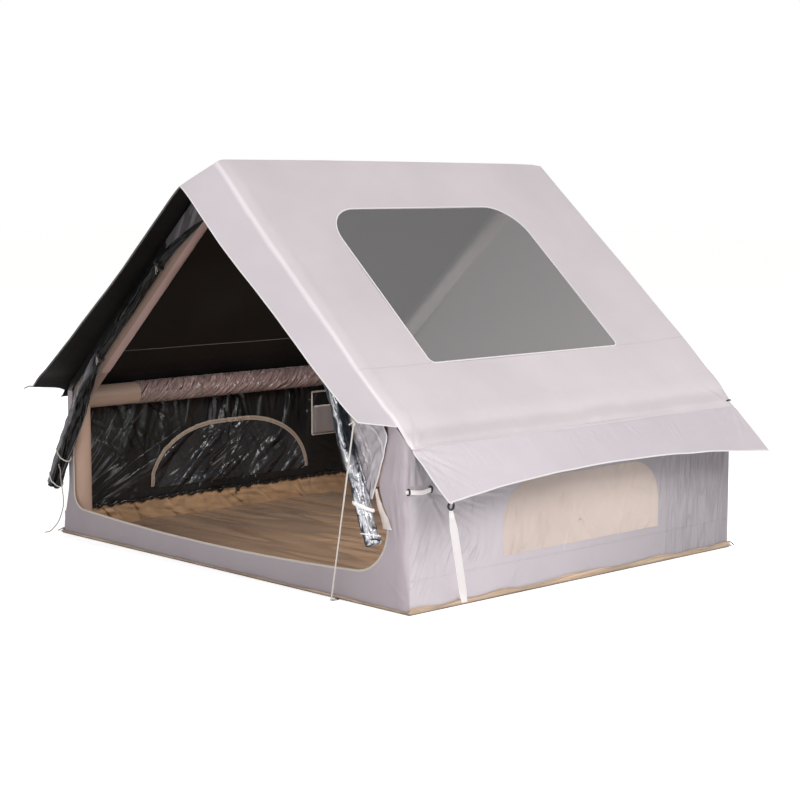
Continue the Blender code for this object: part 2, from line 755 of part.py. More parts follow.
def make_front_wall():
    frame = front_frame(-HALF_LENGTH)
    for side in ("left", "right"):
        sign = 1 if side == "right" else -1
        inner, radius = DOOR_HALF[side], DOOR_ROUND[side]
        corner = (inner - radius, SILL_HEIGHT + radius)
        jamb = [
            (inner - radius, WALL_FOOT),
            (HALF_WIDTH, WALL_FOOT),
            (HALF_WIDTH, under_roof(HALF_WIDTH)),
            (inner, under_roof(inner)),
            *arc(corner, radius, 0, -90),
        ]
        sheet("front_" + side + "_jamb", ([(sign * x, z) for x, z in jamb],), frame, OUTER_GREY)
        outer_x, inner_x = inner - GAP, GABLE_TOP_HALF + GAP
        band = TRIM_WIDTH / math.cos(ROOF_PITCH)
        trim = [
            (outer_x, under_roof(outer_x)),
            (inner_x, under_roof(inner_x)),
            (inner_x, under_roof(inner_x) - band),
            (outer_x, under_roof(outer_x) - band),
        ]
        sheet(side + "_gable_trim", ([(sign * x, z) for x, z in trim],), frame, OUTER_GREY)
    left_x = -(DOOR_HALF["left"] - DOOR_ROUND["left"]) + GAP
    right_x = DOOR_HALF["right"] - DOOR_ROUND["right"] - GAP
    middle, half = (left_x + right_x) / 2, (right_x - left_x) / 2
    sill = [(right_x, WALL_FOOT), (left_x, WALL_FOOT)]
    for step in range(2 * ARC_STEPS + 1):
        share = step / ARC_STEPS - 1
        sill.append((middle + half * share, SILL_HEIGHT - SILL_DIP * (1 - share**2)))
    sheet("front_sill", (sill,), frame, OUTER_GREY)
    top_x = GABLE_TOP_HALF
    crown = RIDGE_HEIGHT - GABLE_TOP_CROWN
    foot = under_roof(top_x) - GABLE_TOP_DROP
    gable = [(-top_x, foot), (0, crown), (top_x, foot), (top_x, under_roof(top_x)), (0, under_roof(0))]
    gable.append((-top_x, under_roof(top_x)))
    sheet("gable_top_panel", (gable,), frame, OUTER_GREY)


def pane_outline(wall, grow):
    """An arched window standing on its flat foot."""
    centre, half = PANE_CENTRE[wall], PANE_HALF_WIDTH[wall]
    reach, rise = PANE_REACH[wall], PANE_RISE[wall]
    shoulder, arch_z = half - reach, PANE_TOP[wall] - rise
    bend = [(shoulder + x * (reach + grow), arch_z + y * (rise + grow)) for x, y in arc((0, 0), 1, 0, 90)]
    return [
        (centre - half - grow, PANE_BOTTOM - grow),
        (centre + half + grow, PANE_BOTTOM - grow),
        *((centre + x, z) for x, z in bend),
        *((centre - x, z) for x, z in reversed(bend)),
    ]


def zip_outline(wall):
    """The zip tape's horseshoe round the flap."""
    inside = pane_outline(wall, FLAP_LAP + GAP)[2:]
    outside = pane_outline(wall, FLAP_LAP + GAP + ZIP_WIDTH)[2:]
    foot = PANE_BOTTOM
    return [
        (outside[0][0], foot),
        *outside,
        (outside[-1][0], foot),
        (inside[-1][0], foot),
        *reversed(inside),
        (inside[0][0], foot),
    ]


def make_walls():
    wall_end = HALF_LENGTH - FABRIC - GAP
    top = under_roof(HALF_WIDTH)
    outline = [(-wall_end, WALL_FOOT), (wall_end, WALL_FOOT), (wall_end, top), (-wall_end, top)]
    gable = [
        (-HALF_WIDTH, WALL_FOOT),
        (HALF_WIDTH, WALL_FOOT),
        (HALF_WIDTH, top),
        (0, under_roof(0)),
        (-HALF_WIDTH, top),
    ]
    walls = (
        ("left", frame_at((-HALF_WIDTH, 0, 0), (0, -1, 0), (0, 0, 1)), outline),
        ("right", side_frame(HALF_WIDTH), outline),
        ("rear", frame_at((0, HALF_LENGTH, 0), (-1, 0, 0), (0, 0, 1)), gable),
    )
    for name, frame, edge in walls:
        sheet(name + "_wall", (edge, pane_outline(name, 0)), frame, OUTER_GREY)
        sheet(name + "_window_mesh", (pane_outline(name, -GAP),), frame, WINDOW_TAN)
        inside = frame @ Matrix.Translation((0, 0, -FABRIC - GAP))
        sheet(name + "_window_flap", (pane_outline(name, FLAP_LAP),), inside, BLACK_COATING)
        sheet(name + "_window_zip", (zip_outline(name),), inside, TAN)
        straight = PANE_HALF_WIDTH[name] - PANE_REACH[name]
        start = PANE_CENTRE[name] - straight + SLIDER_LENGTH
        tape_middle = PANE_TOP[name] + FLAP_LAP + GAP + ZIP_WIDTH / 2
        half_length, half_width = SLIDER_LENGTH / 2, SLIDER_WIDTH / 2
        path = [
            (start - half_length, tape_middle - half_width),
            (start + half_length, tape_middle - half_width),
            (start + half_length, tape_middle + half_width),
            (start - half_length, tape_middle + half_width),
        ]
        proud = inside @ Matrix.Translation((0, 0, -FABRIC - GAP))
        sheet(name + "_zip_slider", (path,), proud, BLACK_PLASTIC, SLIDER_DEPTH)


def roll_profile():
    points = []
    for step in range(ROLL_SIDES):
        angle = -math.tau * step / ROLL_SIDES
        radius = 1 - ROLL_LOBE_SHARE + ROLL_LOBE_SHARE * math.cos(ROLL_LOBES * angle)
        points.append((radius * math.cos(angle), radius * math.sin(angle)))
    profile = flat_curve("roll_profile", (points,), 0)
    profile.fill_mode = "NONE"
    return add_cutter("roll_profile", profile)


def make_door():
    profile = roll_profile()
    rolls = (("left_door_roll", LEFT_ROLL, BLACK_COATING), ("right_door_roll", RIGHT_ROLL, SILVER_FILM))
    for name, route, finish in rolls:
        curve = bpy.data.curves.new(name, "CURVE")
        curve.dimensions = "3D"
        curve.bevel_mode = "OBJECT"
        curve.bevel_object = profile
        curve.use_fill_caps = True
        spline = curve.splines.new("POLY")
        places = smooth(route, ROLL_SAMPLES)
        spline.points.add(len(places) - 1)
        for point, place in zip(spline.points, places):
            point.co = (*place[:3], 1)
            point.radius = place[3]
        add_piece(name, curve, finish)
    for name, index in ROLL_TIE_STEPS.items():
        make_tie(name, index)
    make_door_flap()


def roll_direction(index):
    return (Vector(LEFT_ROLL[index + 1][:3]) - Vector(LEFT_ROLL[index - 1][:3])).normalized()


def make_tie(name, index):
    """A tape ring round the left roll."""
    place = Vector(LEFT_ROLL[index][:3])
    half = roll_direction(index) * TIE_LENGTH / 2
    inner = LEFT_ROLL[index][3] + TIE_CLEARANCE
    ring_tube(name, place - half, place + half, inner, TIE_WALL, CORD_CREAM)


def make_door_flap():
    """Loose cloth sewn to the trim at its top, with the zip guard between its foot and the jamb."""

    def place(u, v):
        whole = v * (len(FLAP_SIDES) - 1)
        index = min(int(whole), len(FLAP_SIDES) - 2)
        t = whole - index
        (a_left, a_right), a_z = FLAP_SIDES[index]
        (b_left, b_right), b_z = FLAP_SIDES[index + 1]
        left, right = a_left + (b_left - a_left) * t, a_right + (b_right - a_right) * t
        wave = (1 + math.sin(math.tau * (FLAP_FOLDS * v + u / 2))) / 2
        depth = GAP + FABRIC + (FABRIC + 2 * GAP) * min(1, 2 * v)
        depth += FLAP_FOLD * (wave * math.sin(math.pi * u) + min(1, 2 * v) * (1 - u))
        return (left + (right - left) * u, -HALF_LENGTH - depth, a_z + (b_z - a_z) * t)

    bent_sheet("right_door_flap", FLAP_SPANS, FLAP_ROWS, place, (0, -1, 0), OUTER_GREY)
    line = smooth(GUARD_LINE, FLAP_ROWS + 1)

    def guard(u, v):
        x, z = line[round(v * FLAP_ROWS)]
        return (x + GUARD_WIDTH * (u - HALF_SHARE), -HALF_LENGTH - GAP - FABRIC, z)

    bent_sheet("right_zip_guard", 2, FLAP_ROWS, guard, (0, -1, 0), WINDOW_TAN)


def make_organiser():
    face = -HALF_WIDTH + FABRIC + GAP
    low_y, high_y = ORGANISER_START, ORGANISER_START + ORGANISER_WIDTH
    organiser = add_piece(
        "hanging_organiser",
        box_mesh(
            "hanging_organiser",
            (face, low_y, ORGANISER_BOTTOM),
            (face + FABRIC, high_y, ORGANISER_TOP),
        ),
        TAN,
    )
    pouch_top = ORGANISER_BOTTOM + POUCH_HEIGHT
    pouch_face = face + FABRIC + POUCH_DEPTH
    pouch = add_cutter(
        "pouch",
        box_mesh("pouch", (face + FABRIC / 2, low_y, ORGANISER_BOTTOM), (pouch_face, high_y, pouch_top)),
    )
    combine(organiser, pouch, "UNION")
    hollow = add_cutter(
        "pouch_hollow",
        box_mesh(
            "pouch_hollow",
            (face + FABRIC, low_y + POUCH_WALL, ORGANISER_BOTTOM + POUCH_WALL),
            (pouch_face - POUCH_WALL, high_y - POUCH_WALL, pouch_top + CUT_OVERRUN),
        ),
    )
    combine(organiser, hollow, "DIFFERENCE")


def make_handle():
    wall = HALF_WIDTH + GAP
    start = -HALF_LENGTH + FABRIC
    end = start + HANDLE_LENGTH + 2 * HANDLE_END_LENGTH
    band_low, band_high = HANDLE_HEIGHT - HANDLE_BAND / 2, HANDLE_HEIGHT + HANDLE_BAND / 2
    out = wall + HANDLE_STANDOFF
    for name, y in (("front", start), ("rear", end - HANDLE_END_LENGTH)):
        label = "handle_end_" + name
        low = (wall, y, HANDLE_HEIGHT - HANDLE_END_HEIGHT / 2)
        high = (out, y + HANDLE_END_LENGTH, HANDLE_HEIGHT + HANDLE_END_HEIGHT / 2)
        add_piece(label, box_mesh(label, low, high), BLACK_PLASTIC)
    band = box_mesh(
        "corner_handle_band",
        (out - HANDLE_BAND_THICKNESS, start + HANDLE_END_LENGTH + GAP, band_low),
        (out, end - HANDLE_END_LENGTH - GAP, band_high),
    )
    add_piece("corner_handle_band", band, WHITE_TAPE)
    top = under_roof(HALF_WIDTH) - GUSSET_SPACE
    foot = HANDLE_HEIGHT + HANDLE_END_HEIGHT / 2 + GUSSET_SPACE
    gusset = [(start, foot), (start + GUSSET_FOOT, foot), (start + GUSSET_TOP, top), (start, top)]
    sheet("corner_gusset", (gusset,), side_frame(HALF_WIDTH + GAP + FABRIC), OUTER_GREY)


def awning_corner():
    """The lower front corner of the right awning, on its underside."""
    pivot = eave_pivot("right")
    run = AWNING_DEPTH - 2 * RING_WIRE
    x = pivot.x + run * math.cos(ROOF_PITCH) - FABRIC / 2 * math.sin(ROOF_PITCH)
    z = pivot.z - run * math.sin(ROOF_PITCH) - FABRIC / 2 * math.cos(ROOF_PITCH)
    return Vector((x, -HALF_LENGTH + RING_RADIUS + RING_WIRE, z))


def make_strap():
    corner = awning_corner()
    ring_z = corner.z - (GAP + RING_WIRE / 2) / math.cos(ROOF_PITCH) - RING_RADIUS
    centre = Vector((corner.x, corner.y, ring_z))
    loop = [(x, y, 0) for x, y in circle(RING_RADIUS, 2 * TURN_STEPS)]
    ring = tube_curve("awning_ring", loop, RING_WIRE, 2, closed=True)
    add_piece("awning_ring", ring, BLACK_PLASTIC, frame_at(centre, (0, 1, 0), (0, 0, 1)))
    top = centre - Vector((0, 0, RING_RADIUS + RING_WIRE / 2 + STRAP_THICKNESS / 2 + GAP))
    foot = Vector((HALF_WIDTH + HEM_BAND_WIDTH + GAP + STRAP_THICKNESS, STRAP_FOOT_Y, STRAP_FOOT_Z))
    across = (foot - top).cross(Vector((0, 0, 1))).normalized()

    def place(u, v):
        turn = max(0, (v - STRAP_TWIST_SHARE) / (1 - STRAP_TWIST_SHARE))
        width = across.lerp(Vector((0, 1, 0)), turn).normalized()
        return top.lerp(foot, v) + width * STRAP_WIDTH * (u - HALF_SHARE)

    bent_sheet("awning_strap", 2, STRAP_ROWS, place, (1, -1, 0), WHITE_TAPE, STRAP_THICKNESS)


def make_loops():
    reach = LOOP_LENGTH + GAP
    hem_x, hem_y = HALF_WIDTH + HEM_BAND_WIDTH, HALF_LENGTH + HEM_BAND_WIDTH
    inset = LOOP_WIDTH
    places = (
        ("front_left_peg_loop", (-hem_x, -hem_y + inset), (-1, 0)),
        ("rear_right_peg_loop", (hem_x - inset, hem_y), (0, 1)),
        ("guy_anchor_loop", (GUY_FOOT_X, -hem_y), (0, -1)),
    )
    half = LOOP_WIDTH / 2
    outer = [(GAP, -half), (reach, -half), (reach, half), (GAP, half)]
    inner_half = LOOP_WIDTH / 2 - LOOP_BAND
    inner = [
        (LOOP_BAND, -inner_half),
        (reach - LOOP_BAND, -inner_half),
        (reach - LOOP_BAND, inner_half),
        (LOOP_BAND, inner_half),
    ]
    for name, (x, y), (out_x, out_y) in places:
        frame = frame_at((x, y, LOOP_LIFT + FABRIC), (out_x, out_y, 0), (-out_y, out_x, 0))
        sheet(name, (outer, inner), frame, BLACK_PLASTIC)


def make_cords():
    """Each cord leaves what holds it square to the face it meets."""
    middle = overhang_point("right", GUY_SHARE_DOWN, GUY_SHARE_OUT)
    down = overhang_point("right", 1, GUY_SHARE_OUT) - middle
    out = overhang_point("right", GUY_SHARE_DOWN, 1) - middle
    under = down.cross(out).normalized()
    if under.z > 0:
        under.negate()
    start = middle + under * (FABRIC + GAP)
    loop_y = -HALF_LENGTH - HEM_BAND_WIDTH - GAP - LOOP_LENGTH + LOOP_BAND / 2
    foot = Vector((GUY_FOOT_X, loop_y, LOOP_LIFT + FABRIC + GAP))
    leave, land = start + under * CORD_BEND, foot + Vector((0, 0, CORD_BEND))
    straight = [leave.lerp(land, step / GUY_SPANS) for step in range(GUY_SPANS + 1)]
    rope = tube_curve("guy_rope", (start, *straight, foot), GUY_ROPE, 2)
    add_piece("guy_rope", rope, CORD_CREAM)
    index = ROLL_TIE_STEPS["left_end_tie"]
    along = roll_direction(index)
    side_way = Vector((1, -1, 0))
    side_way -= along * side_way.dot(along)
    side_way.normalize()
    ring = (LEFT_ROLL[index][3] + TIE_CLEARANCE) / math.cos(math.pi / TURN_STEPS) + TIE_WALL
    start = Vector(LEFT_ROLL[index][:3]) + side_way * (ring + GAP)
    route = (start, *smooth((start + side_way * CORD_BEND, *TIE_CORD_ROUTE), CORD_SAMPLES))
    add_piece("left_tie_cord", tube_curve("left_tie_cord", route, TIE_CORD, 2), CORD_CREAM)


def main():
    clear_scene()
    make_floor()
    arches = make_air_frame()
    make_valve(arches)
    make_roof()
    make_overhang()
    make_awnings()
    make_front_wall()
    make_walls()
    make_door()
    make_organiser()
    make_handle()
    make_strap()
    make_loops()
    make_cords()


main()
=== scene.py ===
import logging
import math
from dataclasses import dataclass, field
from enum import Enum
from typing import Callable, Iterable, Sequence

import bpy
import numpy as np
from mathutils import Matrix, Vector


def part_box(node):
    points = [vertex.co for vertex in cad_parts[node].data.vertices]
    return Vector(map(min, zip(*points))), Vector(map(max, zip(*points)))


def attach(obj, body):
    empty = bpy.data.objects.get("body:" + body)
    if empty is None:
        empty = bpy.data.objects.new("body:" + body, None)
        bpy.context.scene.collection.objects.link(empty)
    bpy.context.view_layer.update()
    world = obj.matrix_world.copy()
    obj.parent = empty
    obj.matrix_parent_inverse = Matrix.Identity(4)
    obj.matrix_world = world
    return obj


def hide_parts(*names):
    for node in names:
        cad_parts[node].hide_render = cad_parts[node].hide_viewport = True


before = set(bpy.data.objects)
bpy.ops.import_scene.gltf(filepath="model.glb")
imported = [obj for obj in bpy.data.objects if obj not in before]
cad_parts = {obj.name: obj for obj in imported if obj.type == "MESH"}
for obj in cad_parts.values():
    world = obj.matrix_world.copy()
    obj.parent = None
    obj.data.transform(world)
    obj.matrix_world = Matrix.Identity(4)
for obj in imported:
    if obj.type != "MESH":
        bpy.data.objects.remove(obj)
log = logging.getLogger("tent")

Array = np.ndarray
Place = Callable[[Array, Array], Array]
Object = bpy.types.Object
Material = bpy.types.Material
Socket = bpy.types.NodeSocket
Pair = tuple[float, float]
Triple = tuple[float, float, float]

# Main sizes, in metres, as the frame has them; the last ones are the thinner cloths, the CAD's clearance and
# the distance at which points are merged
RIDGE = 2.19
EAVE = 0.82
EAVE_X = 1.515
HALF_WIDTH = 1.5
HALF_LENGTH = 1.265
REAR = 1.28
PITCH = math.atan2(RIDGE - EAVE, EAVE_X)
SLOPE = math.hypot(EAVE_X, RIDGE - EAVE)
SIN, COS, TAN = math.sin(PITCH), math.cos(PITCH), math.tan(PITCH)
CLOTH = 0.002
WALL_FOOT = 0.0053
FLAP = 0.0012
LOOSE = 0.0015
STRAP = 0.0016
GAP = 0.0003
MERGE = 0.00001

# The rear rafter seen through the roof window: the way its painted highlight faces,
# and how far its middle lies that way
FAR_FACING = (0.485, -0.689, -0.539)
FAR_LEVEL = -1.9548
# The left roll: the same two, for the painted daylight along its upper side
ROLL_FACING = (-0.857, 0.0, 0.514)
ROLL_LEVEL = 1.4225

UP, TO_FRONT, TO_REAR = (0.0, 0.0, 1.0), (0.0, -1.0, 0.0), (0.0, 1.0, 0.0)
TO_LEFT, TO_RIGHT = (-1.0, 0.0, 0.0), (1.0, 0.0, 0.0)


class Side(Enum):
    """The tent's two long sides, by the sign of their X."""

    LEFT = -1
    RIGHT = 1

    @property
    def word(self) -> str:
        """The side's name as the CAD nodes spell it."""
        return self.name.lower()


def smoothstep(low: float, high: float, value: Array) -> Array:
    """Eases from 0 at low to 1 at high.

    Args:
        low: Where the ramp starts.
        high: Where the ramp ends.
        value: The numbers to ease.

    Returns:
        The eased shares.
    """
    t = np.clip((value - low) / (high - low), 0.0, 1.0)
    return t * t * (3.0 - 2.0 * t)


def swell(x: Array, y: Array, seed: int, size: float, height: float) -> Array:
    """Gentle random undulation, the same on every run.

    Args:
        x: First cloth coordinate, in metres.
        y: Second cloth coordinate, in metres.
        seed: Picks the pattern.
        size: Typical distance between crests.
        height: Typical height of a crest.

    Returns:
        The height at each point.
    """
    rng = np.random.default_rng(seed)
    total = np.zeros_like(x, dtype=float)
    for _ in range(9):
        angle = rng.uniform(0.0, math.tau)
        wave = math.tau / (size * rng.uniform(0.6, 1.8))
        phase = rng.uniform(0.0, math.tau)
        total += np.sin(wave * (x * math.cos(angle) + y * math.sin(angle)) + phase)
    return total * height / 3.0


def lengths_along(line: Array) -> Array:
    """How far along a line each of its points lies."""
    return np.concatenate(([0.0], np.cumsum(np.linalg.norm(np.diff(line, axis=0), axis=1))))


def whole_length(line: Array) -> float:
    """A line's whole length."""
    return np.linalg.norm(np.diff(line, axis=0), axis=1).sum()


def nearest(share: Array, last: int) -> Array:
    """The numbers of the points at shares of a row that ends with the last one."""
    return np.rint(share * last).astype(int)


def unit(vectors: Array) -> Array:
    """One vector, or each of a row of vectors, at length 1.

    Args:
        vectors: Three numbers, or rows of three.

    Returns:
        The same, made so long.
    """
    if vectors.ndim == 1:
        return vectors / np.linalg.norm(vectors)
    return vectors / np.linalg.norm(vectors, axis=1, keepdims=True)


def dimmed(colour: Triple, factor: float) -> Triple:
    """A colour made so much darker or brighter."""
    return tuple(channel * factor for channel in colour)


@dataclass(frozen=True)
class Fold:
    """One crease in a cloth: a ridge along a line that fades at its ends."""

    start: Pair
    end: Pair
    width: float
    height: float
    fades_from_start: bool = False

    def lift(self, x: Array, y: Array) -> Array:
        """The crease's height over the cloth's plane.

        Args:
            x: First cloth coordinate.
            y: Second cloth coordinate.

        Returns:
            The height at each point.
        """
        ax, ay = self.start
        dx, dy = self.end[0] - ax, self.end[1] - ay
        length = math.hypot(dx, dy) + 1e-9
        t = np.clip(((x - ax) * dx + (y - ay) * dy) / length**2, 0.0, 1.0)
        across = ((x - ax) * dy - (y - ay) * dx) / length
        beyond = np.hypot(x - (ax + t * dx), y - (ay + t * dy))
        ridge = np.exp(-((beyond / self.width) ** 2))
        valley = np.exp(-(((across - 1.7 * self.width) / (1.2 * self.width)) ** 2)) * 0.55
        valley *= np.exp(-((np.maximum(beyond - np.abs(across), 0.0) / self.width) ** 2))
        fade = np.sqrt(1.0 - t) if self.fades_from_start else np.sin(math.pi * np.clip(t, 0.02, 0.98)) ** 0.5
        return self.height * fade * (ridge - valley)


@dataclass
class Folds:
    """A set of creases, made by rule from a seed."""

    items: list[Fold] = field(default_factory=list)

    def fan(
        self,
        anchor: Pair,
        angles: Pair,
        lengths: Pair,
        count: int,
        width: float,
        height: float,
        seed: int,
    ) -> "Folds":
        """Adds creases that spread from a point under tension.

        Args:
            anchor: Where the cloth is pulled from.
            angles: The fan's two limits, in degrees.
            lengths: Shortest and longest crease.
            count: How many creases.
            width: Half width of a crease.
            height: Height of a crease.
            seed: Picks the pattern.

        Returns:
            The set itself.
        """
        rng = np.random.default_rng(seed)
        for index in range(count):
            share = (index + rng.uniform(0.2, 0.8)) / count
            angle = math.radians(angles[0] + (angles[1] - angles[0]) * share)
            start = rng.uniform(0.02, 0.12)
            reach = rng.uniform(*lengths)
            way = np.array((math.cos(angle), math.sin(angle)))
            ends = [tuple(np.array(anchor) + far * way) for far in (start, reach)]
            broad = width * rng.uniform(0.7, 1.4)
            high = height * rng.uniform(0.4, 1.2) * rng.choice((-0.7, 1.0))
            self.items.append(Fold(*ends, broad, high, True))
        return self

    def scatter(
        self,
        area: tuple[float, float, float, float],
        angle: float,
        spread: float,
        lengths: Pair,
        count: int,
        width: float,
        height: float,
        seed: int,
    ) -> "Folds":
        """Adds creases strewn over an area, all running about one way.

        Args:
            area: Lowest x, lowest y, highest x, highest y.
            angle: Their direction, in degrees.
            spread: How far they stray from it, in degrees.
            lengths: Shortest and longest crease.
            count: How many creases.
            width: Half width of a crease.
            height: Height of a crease.
            seed: Picks the pattern.

        Returns:
            The set itself.
        """
        rng = np.random.default_rng(seed)
        for _ in range(count):
            x, y = rng.uniform(area[0], area[2]), rng.uniform(area[1], area[3])
            turn = math.radians(angle + rng.normal(0.0, spread))
            half = rng.uniform(*lengths) / 2
            ends = [(x + far * math.cos(turn), y + far * math.sin(turn)) for far in (-half, half)]
            broad = width * rng.uniform(0.6, 1.5)
            high = height * rng.uniform(0.4, 1.2) * rng.choice((-0.7, 1.0))
            self.items.append(Fold(*ends, broad, high))
        return self

    def lift(self, x: Array, y: Array) -> Array:
        """The height of all creases together at each point."""
        return sum((item.lift(x, y) for item in self.items), np.zeros_like(x, dtype=float))


class Shader:
    """A short way to build one material's node tree."""

    def __init__(self, name: str) -> None:
        """Starts a material that holds only its Principled shader.

        Args:
            name: The material's name.
        """
        self.material = bpy.data.materials.new(name)
        self.material.use_nodes = True
        self.tree = self.material.node_tree
        self.main = self.tree.nodes["Principled BSDF"]
        coords = self.tree.nodes.new("ShaderNodeTexCoord")
        self.place, self.flat = coords.outputs["Object"], coords.outputs["UV"]

    def feed(self, socket: Socket, value: object) -> None:
        """Links an output to an input, or sets the input to a value.

        Args:
            socket: The input.
            value: An output socket, or a value; a colour may leave out its alpha.
        """
        if isinstance(value, Socket):
            self.tree.links.new(value, socket)
        else:
            socket.default_value = (*value, 1.0) if socket.type == "RGBA" and len(value) == 3 else value

    def add(self, kind: str, inputs: dict | None = None, **settings: object) -> bpy.types.Node:
        """Adds a node.

        Args:
            kind: The node's type, without its ShaderNode prefix.
            inputs: Socket name or number to a value or an output socket.
            settings: The node's own properties.

        Returns:
            The new node.
        """
        node = self.tree.nodes.new("ShaderNode" + kind)
        for key, value in settings.items():
            setattr(node, key, value)
        for key, value in (inputs or {}).items():
            self.feed(node.inputs[key], value)
        return node

    def maths(self, operation: str, *values: object) -> Socket:
        """One Math node's output."""
        return self.add("Math", dict(enumerate(values)), operation=operation).outputs[0]

    def times(self, first: object, second: object) -> Socket:
        """Two values multiplied."""
        return self.maths("MULTIPLY", first, second)

    def off(self, value: Socket, middle: float) -> Socket:
        """How far a value is from a middle one, either way."""
        return self.maths("ABSOLUTE", self.maths("SUBTRACT", value, middle))

    def split(self, vector: Socket) -> Sequence[Socket]:
        """A vector's three parts."""
        return self.add("SeparateXYZ", {0: vector}).outputs

    def noise(self, vector: Socket, scale: float, detail: float = 2.0, distortion: float = 0.0) -> Socket:
        """A noise texture's value."""
        inputs = {"Vector": vector, "Scale": scale, "Detail": detail, "Distortion": distortion}
        return self.add("TexNoise", inputs).outputs["Fac"]

    def threads(self, scale: float, distortion: float, way: str) -> Socket:
        """Fine stripes across the cloth's flat X or Y."""
        inputs = {"Vector": self.flat, "Scale": scale, "Distortion": distortion}
        return self.add("TexWave", inputs, bands_direction=way).outputs["Fac"]

    def ramp(
        self, value: Socket, low: float, high: float, to_low: float = 0.0, to_high: float = 1.0
    ) -> Socket:
        """Maps a value's range onto another, held inside it."""
        inputs = {"Value": value, "From Min": low, "From Max": high, "To Min": to_low, "To Max": to_high}
        return self.add("MapRange", inputs).outputs["Result"]

    def mix(self, share: object, first: object, second: object) -> Socket:
        """Mixes two colours."""
        return self.add("Mix", {0: share, 6: first, 7: second}, data_type="RGBA").outputs[2]

    def scale(self, colour: Socket, factor: Socket) -> Socket:
        """Brightens or darkens a colour."""
        return self.add("VectorMath", {0: colour, "Scale": factor}, operation="SCALE").outputs[0]

    def bump(self, height: Socket, distance: float, strength: float = 1.0, below: object = None) -> Socket:
        """A bump node's normal, on top of another.

        Args:
            height: What stands up.
            distance: How high it stands, in metres.
            strength: The share of it that shows.
            below: The normal under it.

        Returns:
            The new normal.
        """
        inputs = {"Height": height, "Distance": distance, "Strength": strength}
        if below is not None:
            inputs["Normal"] = below
        return self.add("Bump", inputs).outputs[0]

    def lay(self, pleats: Iterable["Pleats | Rays"], colour: Socket, normal: Socket) -> tuple[Socket, Socket]:
        """Lays sets of creases over a colour and a normal, one after the other.

        Args:
            pleats: The sets.
            colour: The colour so far.
            normal: The normal so far.

        Returns:
            The new colour and the new normal.
        """
        for item in pleats:
            colour, normal = item.apply(self, colour, normal)
        return colour, normal

    def finish(self, **values: object) -> Material:
        """Sets or links the Principled shader's inputs.

        Args:
            values: Inputs by name, with underscores for spaces.

        Returns:
            The finished material.
        """
        for key, value in values.items():
            self.feed(self.main.inputs[key.replace("_", " ")], value)
        return self.material


@dataclass(frozen=True)
class Pleats:
    """Fine creases that all run about one way, on the flat cloth or in the tent's own coordinates, with
    painted shade in their grooves, or painted highlights there where shade is below 0.
    """

    angle: float
    length: float
    width: float
    depth: float
    shade: float = 0.1
    in_tent: bool = False
    span: tuple[int, float, float] | None = None
    patch: float = 0.0
    soft: float = 0.0
    edge: float = 0.07
    crest: float = 0.16

    def apply(self, shader: Shader, colour: Socket, normal: Socket) -> tuple[Socket, Socket]:
        """Lays the creases over a colour and a normal.

        Args:
            shader: The material that is being made.
            colour: The colour so far.
            normal: The normal so far.

        Returns:
            The new colour and the new normal.
        """
        angle = math.radians(self.angle)
        inputs = {
            "Vector": shader.flat, "Rotation": (0.0, 0.0, angle), "Scale": (self.length, self.width, 1.0)
        }
        if self.in_tent:
            inputs = {
                "Vector": shader.place, "Rotation": (angle, 0.0, 0.0), "Scale": (1.0, self.length, self.width)
            }
        place = shader.add("Mapping", inputs, vector_type="TEXTURE").outputs[0]
        wave = shader.maths("SUBTRACT", shader.noise(place, 1.0, 1.0, 0.35), 0.5)
        ridge = shader.maths("MINIMUM", shader.maths("ABSOLUTE", wave), self.crest)
        ridge = shader.maths("MULTIPLY_ADD", wave, self.soft, ridge)
        shares = []
        if self.patch:
            shares.append(shader.ramp(shader.noise(shader.place, self.patch, 1.0), 0.44, 0.6))
        if self.span is not None:
            axis, start, stop = self.span
            shares.append(shader.ramp(shader.split(shader.place)[axis], start, stop))
        for share in shares:
            above = shader.maths("SUBTRACT", ridge, self.crest)
            ridge = shader.maths("MULTIPLY_ADD", above, share, self.crest)
        # Painted shade in the grooves; a shade below 0 paints highlights there instead
        colour = shader.scale(colour, shader.ramp(ridge, 0.0, self.edge, 1.0 - self.shade, 1.0))
        return colour, shader.bump(ridge, self.depth, 1.0, normal)


@dataclass(frozen=True)
class Rays:
    """Painted highlights along folds that fan out from a corner of a wall, in its flat coordinates."""

    centre: Pair
    low: float
    high: float
    count: float
    reach: float
    # The painted highlights' colour
    colour: Triple = (0.17, 0.17, 0.18)

    def apply(self, shader: Shader, colour: Socket, normal: Socket) -> tuple[Socket, Socket]:
        """Lays the folds over a colour and a normal.

        Args:
            shader: The material that is being made.
            colour: The colour so far.
            normal: The normal so far.

        Returns:
            The new colour and the new normal.
        """
        parts = shader.split(shader.flat)
        a = shader.maths("SUBTRACT", parts[0], self.centre[0])
        b = shader.maths("SUBTRACT", parts[1], self.centre[1])
        angle = shader.maths("ARCTAN2", b, a)
        length = shader.maths("SQRT", shader.maths("ADD", shader.times(a, a), shader.times(b, b)))
        place = shader.add("CombineXYZ", {0: shader.times(angle, self.count), 1: shader.times(length, 1.6)})
        wave = shader.noise(place.outputs[0], 1.0, 1.0)
        line = shader.ramp(shader.off(wave, 0.5), 0.04, 0.004)
        inside = shader.times(
            shader.ramp(angle, self.low, self.low + 0.12), shader.ramp(angle, self.high, self.high - 0.2)
        )
        inside = shader.times(inside, shader.ramp(length, self.reach, self.reach * 0.6))
        line = shader.times(line, inside)
        # The lines are painted highlights, patchy along their length
        patchy = shader.ramp(shader.noise(shader.place, 6.0, 1.0), 0.4, 0.6, 0.3, 1.0)
        colour = shader.mix(shader.times(line, patchy), colour, self.colour)
        return colour, shader.bump(line, 0.004, 1.0, normal)


